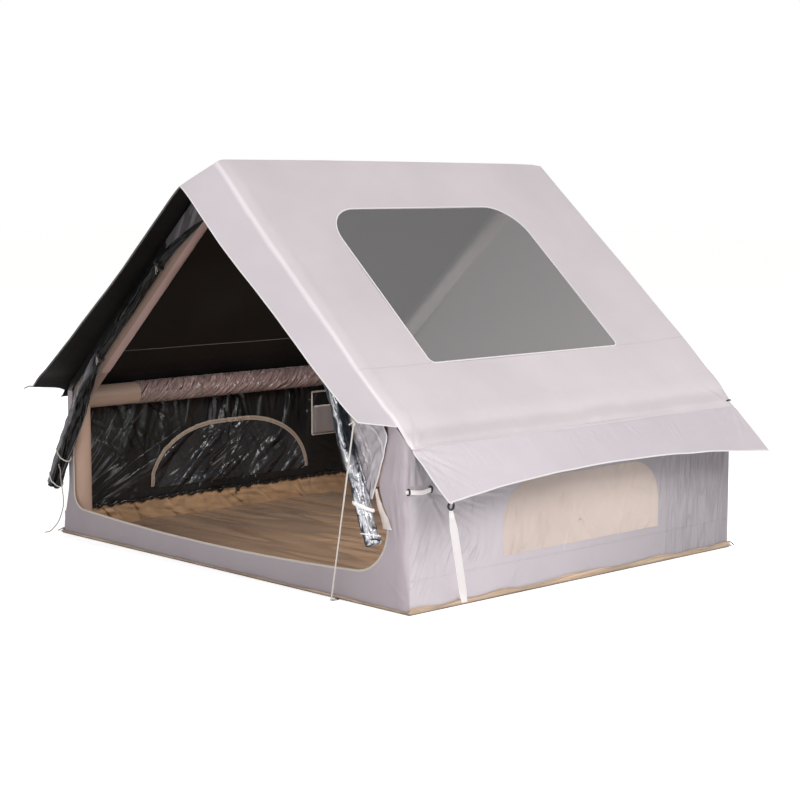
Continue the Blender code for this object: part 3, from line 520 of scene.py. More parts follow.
@dataclass(frozen=True)
class Cloth:
    """A coated woven cloth: weave, faint mottling, small crumples and a sewn line, with painted light and
    shade: a ramp along one axis, bands across one, and the grooves of its creases.
    """

    name: str
    colour: Triple
    roughness: float = 0.62
    crumple: float = 0.003
    crumple_scale: float = 9.0
    mottle: float = 0.06
    weave: float = 0.0002
    seam: tuple[int, float] | None = None
    specular: float = 0.35
    # Painted light and shade: fade ramps the colour to a factor along one of the tent's axes, and each band
    # brightens or darkens a strip across one
    fade: tuple[int, float, float, float] | None = None
    bands: tuple[tuple[int, float, float, float], ...] = ()
    pleats: tuple[Pleats, ...] = ()

    def sew(self, shader: Shader, colour: Socket, normal: Socket) -> tuple[Socket, Socket]:
        """Draws the sewn line over a colour and a normal.

        Args:
            shader: The material that is being made.
            colour: The colour so far.
            normal: The normal so far.

        Returns:
            The new colour and the new normal.
        """
        axis, at = self.seam
        line = shader.ramp(shader.off(shader.split(shader.flat)[axis], at), 0.0055, 0.0035)
        stitch = shader.times(shader.ramp(line, 0.25, 0.75), 0.1)
        return shader.mix(stitch, colour, dimmed(self.colour, 0.72)), shader.bump(line, 0.0012, 1.0, normal)

    def build(self) -> Material:
        """Makes the material.

        Returns:
            The finished material.
        """
        shader = Shader(self.name)
        coarse = shader.noise(shader.place, self.crumple_scale, 4.0, 0.4)
        fine = shader.noise(shader.place, self.crumple_scale * 5.0, 3.0)
        weave = shader.maths("MAXIMUM", shader.threads(260.0, 0.6, "X"), shader.threads(260.0, 0.6, "Y"))
        height = shader.maths("ADD", shader.times(shader.off(coarse, 0.5), -1.6), shader.times(fine, 0.16))
        normal = shader.bump(weave, self.weave, 0.5, shader.bump(height, self.crumple))
        patchy = shader.ramp(shader.noise(shader.place, 2.3, 3.0), 0.35, 0.65)
        colour = shader.mix(patchy, dimmed(self.colour, 1.0 - self.mottle), self.colour)
        if self.seam is not None:
            colour, normal = self.sew(shader, colour, normal)
        parts = shader.split(shader.place)
        # Painted light and shade that ramps along one axis
        if self.fade is not None:
            axis, start, stop, factor = self.fade
            colour = shader.scale(colour, shader.ramp(parts[axis], start, stop, 1.0, factor))
        # Bands of painted highlight and painted shade, with wobbly edges
        for axis, middle, half, gain in self.bands:
            stray = shader.times(shader.maths("SUBTRACT", coarse, 0.5), 0.9 * half)
            off = shader.maths(
                "ABSOLUTE", shader.maths("ADD", shader.maths("SUBTRACT", parts[axis], middle), stray)
            )
            colour = shader.scale(colour, shader.ramp(off, half, half * 0.3, 1.0, gain))
        colour, normal = shader.lay(self.pleats, colour, normal)
        rough = shader.noise(shader.place, 14.0)
        rough = shader.ramp(rough, 0.3, 0.7, self.roughness - 0.05, self.roughness + 0.06)
        look = {
            "Base_Color": colour, "Roughness": rough, "Normal": normal, "Specular_IOR_Level": self.specular
        }
        return shader.finish(**look, Sheen_Weight=0.15, Sheen_Roughness=0.5)


@dataclass(frozen=True)
class BlackCoating:
    """The glossy black blackout coating on the cloth's inner face."""

    name: str
    colour: Triple = (0.008, 0.0075, 0.008)
    roughness: float = 0.36
    crumple: float = 0.006
    scale: float = 7.0
    pleats: tuple[Pleats | Rays, ...] = ()
    specular: float = 0.55

    def build(self) -> Material:
        """Makes the material.

        Returns:
            The finished material.
        """
        shader = Shader(self.name)
        coarse = shader.noise(shader.place, self.scale, 2.0, 0.5)
        normal = shader.bump(shader.maths("MINIMUM", shader.off(coarse, 0.5), 0.14), self.crumple)
        patchy = shader.noise(shader.place, 3.0, 3.0)
        colour = shader.mix(shader.ramp(patchy, 0.4, 0.7), self.colour, dimmed(self.colour, 1.8))
        colour, normal = shader.lay(self.pleats, colour, normal)
        rough = shader.ramp(patchy, 0.3, 0.7, self.roughness - 0.06, self.roughness + 0.08)
        return shader.finish(
            Base_Color=colour, Roughness=rough, Normal=normal, Specular_IOR_Level=self.specular
        )


@dataclass(frozen=True)
class Foil:
    """The silvered lining of the rolled door: bright crumpled foil, with painted shade along one side, over
    its top and in dark patches, and one painted highlight streak.
    """

    name: str
    colour: Triple = (0.72, 0.73, 0.77)
    roughness: float = 0.22

    def build(self) -> Material:
        """Makes the material.

        Returns:
            The finished material.
        """
        shader = Shader(self.name)
        cells = {"Vector": shader.place, "Scale": 24.0, "Randomness": 1.0}
        cells = shader.add("TexVoronoi", cells, feature="F1").outputs["Distance"]
        coarse = shader.noise(shader.place, 10.0, 3.0, 1.2)
        height = shader.maths("ADD", shader.times(cells, 0.5), coarse)
        around = shader.split(shader.flat)[1]
        stray = shader.maths("SUBTRACT", coarse, 0.5)
        # Painted shade: the foil turns dark in a band along one side of the roll and in patches of the
        # crumples
        limit = shader.maths("MULTIPLY_ADD", stray, 0.12, shader.off(around, 0.168))
        bright = shader.times(shader.ramp(coarse, 0.38, 0.46), shader.ramp(limit, 0.018, 0.032))
        # A painted highlight streak; over the roll's top it is all that stays bright, the rest is painted
        # shade
        painted_highlight_streak = shader.ramp(
            shader.maths("MULTIPLY_ADD", stray, 0.05, shader.off(around, 0.214)), 0.017, 0.008
        )
        high = shader.ramp(shader.split(shader.place)[2], 0.62, 0.8)
        bright = shader.maths("MULTIPLY_ADD", shader.maths("SUBTRACT", painted_highlight_streak, bright), high, bright)
        # The dark colour is the painted shade
        colour = shader.mix(bright, (0.03, 0.036, 0.05), self.colour)
        # Painted shade in the creases
        creases = (Pleats(4.0, 0.3, 0.03, 0.03, 0.6),)
        colour, normal = shader.lay(creases, colour, shader.bump(height, 0.012))
        return shader.finish(
            Base_Color=colour,
            Normal=normal,
            Roughness=shader.ramp(bright, 0.0, 1.0, 0.34, self.roughness),
            Metallic=shader.ramp(bright, 0.0, 1.0, 0.2, 0.55),
            Specular_IOR_Level=shader.ramp(bright, 0.0, 1.0, 0.3, 0.5),
        )


@dataclass(frozen=True)
class LitTube:
    """A tube's cloth with a painted highlight along the side that faces one way and painted shade round the
    rest.
    """

    name: str
    colour: Triple
    facing: Triple
    level: float
    radius: float
    # The painted shade's share of the colour
    dark: float = 0.2
    stray: float = 0.012
    roughness: float = 0.5
    specular: float = 0.5
    pleats: tuple[Pleats, ...] = ()

    def build(self) -> Material:
        """Makes the material.

        Returns:
            The finished material.
        """
        shader = Shader(self.name)
        facing = {0: shader.place, 1: self.facing}
        reach = shader.add("VectorMath", facing, operation="DOT_PRODUCT").outputs["Value"]
        stray = shader.noise(shader.place, 7.0, 1.0)
        reach = shader.maths("ADD", reach, shader.maths("MULTIPLY_ADD", stray, self.stray, self.stray * -0.5))
        share = shader.ramp(reach, self.level + self.radius * 0.6, self.level + self.radius * 0.97)
        # Painted highlight on the side that faces the given way, painted shade round the rest
        colour = shader.mix(share, dimmed(self.colour, self.dark), self.colour)
        look = {"Roughness": self.roughness, "Specular_IOR_Level": self.specular}
        if self.pleats:
            normal = shader.bump(shader.noise(shader.place, 8.0, 4.0, 0.4), 0.003)
            colour, look["Normal"] = shader.lay(self.pleats, colour, normal)
        return shader.finish(Base_Color=colour, **look)


@dataclass(frozen=True)
class SmokeFilm:
    """The roof window's smoked film, which lets some of the inside show, with painted light that makes it
    paler lower down, towards the rear and below a line across it.
    """

    name: str
    colour: Triple = (0.225, 0.22, 0.225)
    alpha: float = 0.56

    def build(self) -> Material:
        """Makes the material.

        Returns:
            The finished material.
        """
        shader = Shader(self.name)
        parts = shader.split(shader.place)
        # Painted light: paler lower down and towards the rear; only above a line across the film does it keep
        # its smoke colour
        down = shader.maths("MULTIPLY_ADD", parts[2], -2.0, parts[1])
        painted_light_tone = shader.mix(shader.ramp(down, -3.5, -1.5), (0.33, 0.315, 0.32), (0.46, 0.44, 0.445))
        beyond = shader.maths("MULTIPLY_ADD", parts[1], 0.397, 1.496)
        beyond = shader.maths("MULTIPLY_ADD", parts[2], -0.918, beyond)
        pale = shader.mix(shader.ramp(beyond, -0.05, 0.03), self.colour, painted_light_tone)
        drawn = shader.add("Mapping", {"Vector": shader.place, "Scale": (1.0, 0.35, 1.0)}).outputs[0]
        normal = shader.bump(shader.noise(drawn, 2.0, 1.0), 0.004)
        return shader.finish(
            Base_Color=pale, Roughness=0.25, Alpha=self.alpha, Specular_IOR_Level=0.5, Normal=normal
        )


@dataclass(frozen=True)
class Webbing:
    """Woven tape with ribs across it, which a painted glow can brighten."""

    name: str
    colour: Triple
    ribs: float
    # A painted glow: emission that brightens the tape though it is no lamp
    glow: float = 0.0

    def build(self) -> Material:
        """Makes the material.

        Returns:
            The finished material.
        """
        shader = Shader(self.name)
        ribs, rows = shader.threads(self.ribs, 1.2, "X"), shader.threads(self.ribs * 0.7, 0.5, "Y")
        fuzz = shader.noise(shader.place, 60.0, 3.0)
        weave = shader.maths("ADD", shader.times(ribs, rows), shader.times(fuzz, 0.3))
        colour = shader.mix(shader.ramp(weave, 0.1, 0.9), dimmed(self.colour, 0.86), self.colour)
        look = {"Base_Color": colour, "Roughness": 0.75, "Normal": shader.bump(weave, 0.0006)}
        # The painted glow
        glow = {"Sheen_Weight": 0.1, "Emission_Color": colour, "Emission_Strength": self.glow}
        return shader.finish(**look, **glow, Specular_IOR_Level=0.25)


@dataclass(frozen=True)
class Moulded:
    """Moulded plastic with a fine grain."""

    name: str
    colour: Triple
    roughness: float = 0.42

    def build(self) -> Material:
        """Makes the material.

        Returns:
            The finished material.
        """
        shader = Shader(self.name)
        worn = shader.noise(shader.place, 30.0, 3.0)
        pale = tuple(channel * 1.5 + 0.01 for channel in self.colour)
        colour = shader.mix(shader.ramp(worn, 0.45, 0.75), self.colour, pale)
        rough = shader.ramp(worn, 0.3, 0.7, self.roughness - 0.07, self.roughness + 0.08)
        grain = shader.bump(shader.noise(shader.place, 420.0), 0.0003)
        return shader.finish(Base_Color=colour, Roughness=rough, Normal=grain)


class Finishes:
    """Every finish of the tent, made once."""

    def __init__(self) -> None:
        """Makes all the materials."""
        grey = (0.70, 0.638, 0.665)
        # Painted light and shade on the roof: crest and beside are painted highlights along the rounded crest
        # of its front edge, shade is a painted shadow above the eave's fold, and lit darkens the front half a
        # little
        crest = (1, -1.258, 0.021, 1.28)
        beside = (1, -1.22, 0.065, 1.06)
        shade = (2, 0.871, 0.042, 0.885)
        lit = (1, -0.7, 0.75, 0.955)
        # The roof's fade is painted light, brighter lower down
        self.roof = Cloth(
            "roof_cloth", grey, crumple=0.0022, crumple_scale=4.0, seam=(0, 1.515), fade=(2, 1.4, 0.95, 1.09),
            bands=(crest, beside, shade, lit)
        ).build()
        # The wing's crest band is a painted highlight along its rounded edge
        self.wing = Cloth(
            "wing_cloth", (0.68, 0.625, 0.665), crumple=0.002, crumple_scale=5.0, bands=(crest,)
        ).build()
        # Painted shade in the awning's creases
        taut = Pleats(88.0, 0.4, 0.06, 0.01, 0.05, True, (1, -0.8, -1.2))
        self.awning = Cloth(
            "awning_cloth", (0.735, 0.675, 0.72), crumple=0.0025, crumple_scale=6.0, fade=(1, -1.1, 0.2, 0.9),
            pleats=(taut,)
        ).build()
        # Painted shade: the right wall darkens towards the rear, under the awning, and in its creases
        rear = Pleats(86.0, 0.4, 0.05, 0.03, 0.14, span=(1, 0.45, 0.8), soft=0.5)
        front = Pleats(62.0, 0.3, 0.055, 0.022, 0.09, span=(1, -0.35, -0.8), patch=3.0, soft=0.5)
        self.wall = Cloth(
            "wall_cloth",
            (0.715, 0.655, 0.70),
            crumple=0.006,
            crumple_scale=6.0,
            mottle=0.05,
            seam=(1, 0.168),
            fade=(1, -0.7, 1.2, 0.6),
            pleats=(rear, front),
        ).build()
        # Painted shade in the far walls' creases
        hung = Pleats(87.0, 0.7, 0.2, 0.03, 0.05, patch=1.5, soft=0.7)
        self.far_wall = Cloth(
            "far_wall_cloth", (0.69, 0.63, 0.67), crumple=0.005, crumple_scale=5.0, mottle=0.05,
            seam=(1, 0.168), pleats=(hung,)
        ).build()
        # Painted light and shade: the front is darker to the left and at the foot, lighter near the right
        # corner and at mid height, with painted shade in its creases
        creased = Pleats(88.0, 0.4, 0.05, 0.014, 0.08, True, (2, 0.3, 0.6), soft=0.4)
        self.front = Cloth(
            "front_cloth",
            (0.575, 0.505, 0.545),
            crumple=0.0035,
            crumple_scale=6.0,
            mottle=0.06,
            fade=(0, 1.42, 0.8, 0.86),
            bands=((0, -1.5, 0.8, 0.93), (0, 1.5, 0.09, 1.2), (2, 0.03, 0.3, 0.93), (2, 0.75, 0.35, 1.08)),
            pleats=(creased,),
        ).build()
        # The gable top's darker copy of the front cloth is painted shade under the wings, with painted shade
        # in its creases
        drawn = (Pleats(57.0, 0.4, 0.07, 0.06, 0.45, soft=0.8),)
        self.gable = Cloth(
            "gable_cloth", (0.24, 0.215, 0.23), crumple=0.012, crumple_scale=5.0, mottle=0.4, pleats=drawn
        ).build()
        # Painted shade in the loose cloth's creases
        slack = (Pleats(66.0, 0.35, 0.06, 0.06, 0.3, soft=1.0),)
        self.loose = Cloth(
            "loose_cloth", (0.86, 0.79, 0.84), crumple=0.006, crumple_scale=9.0, roughness=0.42, specular=0.5,
            pleats=slack
        ).build()
        self.guard = Cloth("guard_cloth", (0.96, 0.83, 0.78), crumple=0.004, crumple_scale=9.0).build()
        # Painted highlights along the folds that fan out from the left wall's lower front corner
        rays = Rays((-1.42, -0.02), 0.35, 1.32, 15.0, 1.25)
        gathers = Pleats(80.0, 0.6, 0.13, 0.09, 0.0, True, (2, 0.36, 0.6), 0.0, 1.0)
        across = Pleats(-25.0, 0.5, 0.12, 0.05, 0.0, True, None, 2.6, 0.8)
        self.black = BlackCoating(
            "black_coating", (0.009, 0.0088, 0.0092), 0.34, 0.008, 5.0, (gathers, across, rays)
        ).build()
        self.roof_black = BlackCoating(
            "roof_black_coating", (0.0055, 0.0046, 0.0043), 0.6, 0.002, 3.0, specular=0.2
        ).build()
        crushed = (
            Pleats(38.0, 0.5, 0.1, 0.13, 0.0, True, None, 0.0, 0.8),
            Pleats(122.0, 0.4, 0.1, 0.05, 0.0, True, None, 5.0, 0.5)
        )
        glints = Pleats(34.0, 0.4, 0.05, 0.02, -7.0, True, None, 4.0, edge=0.02)
        self.flap_black = BlackCoating(
            "flap_black_coating", (0.026, 0.026, 0.029), 0.3, 0.006, 5.0, (*crushed, glints)
        ).build()
        # Painted shade: the tube turns darker above 0.7 m, where it runs in under the roof
        self.tube = Cloth(
            "tube_cloth", (0.60, 0.41, 0.315), roughness=0.5, crumple=0.0015, crumple_scale=8.0, mottle=0.12,
            fade=(2, 0.68, 0.84, 0.56)
        ).build()
        # A painted highlight along the side of the rear rafter that faces the window, painted shade round it
        self.far_tube = LitTube("far_tube_cloth", (0.98, 0.90, 0.88), FAR_FACING, FAR_LEVEL, 0.0635).build()
        # Painted shade in the sleeve's wrinkles
        twist = (
            Pleats(48.0, 0.2, 0.03, 0.055, 0.5, soft=0.6), Pleats(60.0, 0.34, 0.07, 0.05, 0.25, soft=0.5)
        )
        self.sleeve = Cloth(
            "sleeve_cloth", (0.44, 0.285, 0.265), roughness=0.3, crumple=0.001, crumple_scale=10.0,
            mottle=0.25, specular=0.65, pleats=twist
        ).build()
        self.rafter = Cloth(
            "rafter_cloth", (0.54, 0.36, 0.335), roughness=0.45, crumple=0.002, crumple_scale=8.0, mottle=0.14
        ).build()
        # Painted shade in the floor's creases, and a painted shade that darkens it towards the door
        creases = (
            Pleats(2.0, 1.6, 0.24, 0.12, 0.4, soft=0.6), Pleats(24.0, 0.8, 0.16, 0.08, 0.24, patch=2.0)
        )
        self.floor = Cloth(
            "floor_cloth", (0.425, 0.255, 0.15), roughness=0.42, crumple=0.002, crumple_scale=4.0,
            mottle=0.12, specular=0.45, fade=(1, 0.9, -1.2, 0.86), pleats=creases
        ).build()
        # Painted shade in the tray's folds
        folded = (Pleats(40.0, 0.3, 0.1, 0.05, 0.16, soft=0.6), Pleats(6.0, 0.6, 0.08, 0.04, 0.14, soft=0.5))
        self.tray = Cloth(
            "tray_cloth", (0.63, 0.39, 0.22), roughness=0.42, crumple=0.002, crumple_scale=6.0, mottle=0.3,
            specular=0.45, pleats=folded
        ).build()
        # Painted shade along the hem's foot, where it meets the ground, and in its creases
        waved = Pleats(4.0, 0.5, 0.02, 0.02, 0.25, soft=0.6)
        self.hem = Cloth(
            "hem_cloth", (0.95, 0.70, 0.50), roughness=0.6, crumple=0.004, crumple_scale=9.0, mottle=0.16,
            fade=(2, 0.011, 0.003, 0.22), pleats=(waved,)
        ).build()
        # Painted shade in the pane's dents
        dented = Pleats(70.0, 0.3, 0.08, 0.02, 0.06, patch=4.0, soft=0.6)
        self.pane = Cloth(
            "pane_cloth", (0.76, 0.635, 0.575), crumple=0.006, crumple_scale=5.0, mottle=0.08,
            pleats=(dented,)
        ).build()
        self.film = SmokeFilm("smoke_film").build()
        self.foil = Foil("foil_lining").build()
        # Painted light on the left roll: a painted highlight along its upper side, painted shade round the
        # rest, painted shade in its creases and painted highlights along its thin ones
        wrung = (
            Pleats(3.0, 0.6, 0.05, 0.09, 0.35, soft=0.7), Pleats(4.0, 0.22, 0.02, 0.02, -1.0, edge=0.016)
        )
        self.roll = LitTube(
            "roll_cloth", (0.24, 0.23, 0.25), ROLL_FACING, ROLL_LEVEL, 0.0405, 0.02, 0.06, 0.32, 0.25, wrung
        ).build()
        # The pale piping has a faint painted glow
        self.piping = Webbing("pale_piping", (0.92, 0.89, 0.90), 60.0, glow=0.06).build()
        self.grey_piping = Webbing("grey_piping", (0.17, 0.16, 0.165), 60.0).build()
        self.binding = Webbing("tan_binding", (0.78, 0.70, 0.63), 70.0).build()
        self.zip = Webbing("zip_tape", (0.46, 0.36, 0.29), 110.0).build()
        # The white strap has a painted glow
        self.strap = Webbing("white_webbing", (0.93, 0.89, 0.88), 70.0, glow=0.3).build()
        self.dark_tape = Webbing("dark_tape", (0.035, 0.034, 0.034), 70.0).build()
        self.tie = Webbing("tie_weave", (0.50, 0.42, 0.37), 130.0).build()
        # The cord has a faint painted glow
        self.cord = Webbing("cord_weave", (0.92, 0.85, 0.78), 130.0, glow=0.1).build()
        self.plastic = Moulded("black_plastic", (0.014, 0.014, 0.015)).build()
        self.metal_zip = Moulded("zip_teeth", (0.30, 0.23, 0.17), 0.35).build()
        self.mesh_grey = Cloth(
            "pocket_mesh", (0.27, 0.23, 0.22), crumple=0.003, crumple_scale=12.0, weave=0.0008
        ).build()


def deselect() -> None:
    """Leaves edit mode and deselects everything."""
    if bpy.context.object and bpy.context.object.mode != "OBJECT":
        bpy.ops.object.mode_set(mode="OBJECT")
    bpy.ops.object.select_all(action="DESELECT")


def activate(piece: Object) -> None:
    """Makes a piece the only selected and active one.

    Args:
        piece: The piece.
    """
    deselect()
    piece.select_set(True)
    bpy.context.view_layer.objects.active = piece


def dress(piece: Object, *materials: Material) -> None:
    """Gives a piece its materials, in the order of its faces' slots.

    Args:
        piece: The piece.
        materials: Its materials.
    """
    piece.data.materials.clear()
    for material in materials:
        piece.data.materials.append(material)


def coordinates(piece: Object) -> Array:
    """A mesh's points as an array.

    Args:
        piece: The piece.

    Returns:
        One row for each point.
    """
    points = np.empty(len(piece.data.vertices) * 3)
    piece.data.vertices.foreach_get("co", points)
    return points.reshape(-1, 3)


def write_uv(piece: Object, flat: Array) -> None:
    """Writes one flat coordinate in metres for each point.

    Args:
        piece: The mesh piece.
        flat: Two numbers for each point.
    """
    layer = piece.data.uv_layers.new(name="cloth")
    loops = np.empty(len(piece.data.loops), dtype=np.int64)
    piece.data.loops.foreach_get("vertex_index", loops)
    layer.data.foreach_set("uv", flat[loops].reshape(-1).astype(np.float32))


def edit_all(piece: Object, *steps: Callable[[], object]) -> None:
    """Runs steps in edit mode on all of a piece.

    Args:
        piece: The mesh piece.
        steps: Blender's operators, one after the other.
    """
    activate(piece)
    bpy.ops.object.mode_set(mode="EDIT")
    bpy.ops.mesh.select_all(action="SELECT")
    for step in steps:
        step()
    bpy.ops.object.mode_set(mode="OBJECT")


def merge_borders() -> None:
    """Merges the selected points that lie on each other."""
    bpy.ops.mesh.remove_doubles(threshold=MERGE)


def mapped_grid(
    name: str,
    columns: int,
    rows: int,
    place: Place,
    flat: Place | None = None,
    outward: Sequence[float] | None = None,
    weld: bool = False,
) -> Object:
    """Adds a grid and shapes it by a rule.

    Args:
        name: The piece's name.
        columns: Faces along u.
        rows: Faces along v.
        place: Turns shares u and v into points.
        flat: Turns shares u and v into flat coordinates in metres, or None for their lengths.
        outward: The side that its faces point to.
        weld: Whether its borders meet and are merged.

    Returns:
        The new piece.
    """
    deselect()
    bpy.ops.mesh.primitive_grid_add(x_subdivisions=columns, y_subdivisions=rows, size=1.0)
    piece = bpy.context.object
    piece.name = name
    shares = coordinates(piece)[:, :2] + 0.5
    u, v = shares[:, 0], shares[:, 1]
    points = place(u, v)
    piece.data.vertices.foreach_set("co", points.reshape(-1))
    for layer in list(piece.data.uv_layers):
        piece.data.uv_layers.remove(layer)
    if flat is None:
        line, half = np.linspace(0.0, 1.0, 60), np.full(60, 0.5)
        long_u = whole_length(place(line, half))
        long_v = whole_length(place(half, line))
        write_uv(piece, np.stack((u * long_u, v * long_v), axis=1))
    else:
        write_uv(piece, flat(u, v))
    piece.data.update()
    if weld:
        edit_all(piece, merge_borders, bpy.ops.mesh.normals_make_consistent)
    if outward is not None:
        total = sum((face.normal * face.area for face in piece.data.polygons), Vector())
        if total.dot(Vector(outward)) < 0:
            edit_all(piece, bpy.ops.mesh.flip_normals)
    bpy.ops.object.shade_smooth()
    return piece


def thicken(piece: Object, wall: float, inner: int) -> None:
    """Gives a sheet its thickness on its inner side.

    Args:
        piece: The sheet.
        wall: Its thickness.
        inner: The material slot of its inner face.
    """
    activate(piece)
    solid = piece.modifiers.new("cloth", "SOLIDIFY")
    solid.thickness = wall
    solid.offset = -1.0
    solid.material_offset = inner
    bpy.ops.object.modifier_apply(modifier=solid.name)
    bpy.ops.object.shade_smooth_by_angle(angle=math.radians(50.0))


def on_curve(points: Array, shares: Array) -> Array:
    """Places along a smooth curve through points, by share of its length.

    Args:
        points: The curve's points.
        shares: From 0 at its start to 1 at its end.

    Returns:
        The places.
    """
    ends = np.vstack((2 * points[0] - points[1], points, 2 * points[-1] - points[-2]))
    steps = 24
    dense = []
    for index in range(len(points) - 1):
        a, b, c, d = ends[index : index + 4]
        for step in range(steps):
            t = step / steps
            dense.append(
                (
                    b * 2 + (c - a) * t + (a * 2 - b * 5 + c * 4 - d) * t**2 + (b * 3 - a - c * 3 + d) * t**3
                ) / 2
            )
    dense.append(points[-1])
    line = np.array(dense)
    return along_line(line, shares)


def along_line(line: Array, shares: Array) -> Array:
    """Places along a straight-sided line, by share of its length.

    Args:
        line: Its points, with a fourth number each if they have one.
        shares: From 0 at its start to 1 at its end.

    Returns:
        The places, with their fourth number.
    """
    length = lengths_along(line[:, :3])
    return np.stack([np.interp(shares * length[-1], length, numbers) for numbers in line.T], axis=1)


def crosswise(line: Array, reference: Sequence[float], ring: bool = False) -> tuple[Array, Array]:
    """The two directions across a line at each of its points.

    Args:
        line: The line's points.
        reference: A direction that the line doesn't take.
        ring: Whether it ends where it starts.

    Returns:
        Sideways and upwards, each at length 1.
    """
    ahead = np.gradient(line, axis=0)
    if ring:
        ahead[0] = ahead[-1] = line[1] - line[-2]
    ahead = unit(ahead)
    side = unit(np.cross(ahead, np.array(reference)))
    return side, np.cross(side, ahead)


def round_about(side: Array, up: Array, angle: Array, reach: Array, squeeze: float = 1.0) -> Array:
    """The way from a line's points to places round them.

    Args:
        side: Sideways at each point.
        up: Upwards at each point.
        angle: The place round the line.
        reach: How far out it lies.
        squeeze: The height's share of the width.

    Returns:
        What is added to the line's points.
    """
    return (np.cos(angle) * reach)[:, None] * side + (np.sin(angle) * reach * squeeze)[:, None] * up


@dataclass
class Sweep:
    """A tube, roll or piping that follows a line, closed at both ends unless it is a ring."""

    name: str
    points: Array
    radius: float
    columns: int
    sides: int
    reference: Triple
    squeeze: float = 1.0
    shape: Place | None = None
    curved: bool = True
    cap: float = 0.5
    ring: bool = False

    def end_share(self, line: Array) -> float:
        """The share of a line that a rounded end takes."""
        return min(self.cap * self.radius / whole_length(line), 0.2)

    def stations(self) -> Array:
        """Shares of the length at which the sections stand, closer together at a rounded end.

        Returns:
            The shares.
        """
        if self.ring:
            return np.linspace(0.0, 1.0, self.columns + 1)
        reach = self.end_share(self.points[:, :3])
        ease = 1.0 - np.cos(np.linspace(0.0, math.pi / 2, 6))
        inner = np.linspace(reach, 1.0 - reach, self.columns - 9)
        return np.concatenate((reach * ease[:-1], inner, 1.0 - reach * ease[-2::-1]))

    def line(self, shares: Array) -> Array:
        """The centre line's places at shares of its length.

        Args:
            shares: From 0 at the line's start to 1 at its end.

        Returns:
            The places.
        """
        if self.curved:
            return on_curve(self.points, shares)
        return along_line(self.points, shares)

    def build(self) -> Object:
        """Models the piece.

        Returns:
            The new piece.
        """
        marks = self.stations()
        last = len(marks) - 1
        centre = self.line(marks)
        places = centre[:, :3]
        scale = centre[:, 3] / self.radius if centre.shape[1] > 3 else np.ones(len(marks))
        side, up = crosswise(places, self.reference, self.ring)
        if self.ring:
            ends = np.ones(len(marks))
        else:
            reach = self.end_share(places)
            near = np.clip(np.minimum(marks, 1.0 - marks) / reach, 0.0, 1.0)
            ends = np.sqrt(np.maximum(1.0 - (1.0 - near) ** 2, 0.0))
        long = whole_length(places)

        def place(u: Array, v: Array) -> Array:
            """Stands the sections' points round the centre line.

            Args:
                u: Share of the length.
                v: Share of a turn.

            Returns:
                The points.
            """
            index = nearest(u, last)
            angle = v * math.tau
            reach = self.radius * scale[index] * ends[index]
            if self.shape is not None:
                reach = reach * self.shape(marks[index], angle)
            return places[index] + round_about(side[index], up[index], angle, reach, self.squeeze)

        def flat(u: Array, v: Array) -> Array:
            """Turns the same shares into flat coordinates."""
            return np.stack((marks[nearest(u, last)] * long, v * math.tau * self.radius), axis=1)

        return mapped_grid(self.name, last, self.sides, place, flat, weld=True)


def ride(piece: Object, body: str, slot: str, *nodes: str) -> None:
    """Hangs a finished piece on its body, and hides and logs the nodes that it stands for.

    Args:
        piece: The finished piece.
        body: The CAD body that it moves with.
        slot: Not used.
        nodes: CAD nodes that it replaces.
    """
    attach(piece, body)
    if nodes:
        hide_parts(*nodes)
    log.info("%s rides on %s and stands for %s", piece.name, body, ", ".join(nodes) or "no node")


def hang(
    piece: Object,
    finish: Material | tuple[Material, ...],
    node: str,
    body: str = "tent",
    wall: float = 0.0,
    replaces: bool = True,
) -> None:
    """Dresses a finished piece, thickens it where it is a sheet, and hangs it on its body.

    Args:
        piece: The finished piece.
        finish: Its material, or its outer and inner face's two.
        node: The CAD node that it goes with.
        body: The CAD body that it moves with.
        wall: A sheet's thickness, or 0.
        replaces: Whether it stands for the node too.
    """
    looks = finish if isinstance(finish, tuple) else (finish,)
    dress(piece, *looks)
    if wall:
        thicken(piece, wall, len(looks) - 1)
    ride(piece, body, node, *((node,) if replaces else ()))


def trim(piece: Object, finish: Material, node: str, body: str = "tent", wall: float = 0.0) -> None:
    """Hangs a piece that stands for no node."""
    hang(piece, finish, node, body, wall, replaces=False)


def roof_z(x: Array) -> Array:
    """The roof's outer face, softly rounded at the ridge."""
    rounding = 0.003
    return RIDGE - TAN * np.sqrt(x * x + rounding**2)


def front_drop(s: Array, y: Array) -> Array:
    """How far the roof turns down over its front edge, by place down the slope.

    Args:
        s: Distance down from the ridge.
        y: Place along the tent.

    Returns:
        The drop at each point.
    """
    share = np.clip(s / 1.95, 0.0, 1.0)
    t = np.clip((-1.195 - y) / 0.07, 0.0, 1.0)
    return 0.0182 * (1.0 - share) * t * t


def ridge_rise(s: Array, y: Array) -> Array:
    """How far the ridge stands over its straight line, pushed up by the front arch.

    Args:
        s: Distance down from the ridge.
        y: Place along the tent.

    Returns:
        The rise at each point.
    """
    places = (-1.5, -1.2, -0.5, 0.4, 1.0, 1.2, 1.28)
    heights = (0.026, 0.026, 0.024, 0.015, 0.008, 0.003, -0.006)
    return np.interp(y, places, heights) * np.exp(-((s / 0.32) ** 2))


def slope_point(side: Side, s: Array, y: Array, lift: Array) -> Array:
    """A point on a roof slope.

    Args:
        side: Which slope.
        s: Distance down from the ridge.
        y: Place along the tent.
        lift: Height over the slope's plane.

    Returns:
        The points.
    """
    x = s * COS + lift * SIN
    z = roof_z(s * COS) + lift * COS + ridge_rise(s, y) - front_drop(s, y)
    return np.stack((side.value * x, y, z), axis=1)


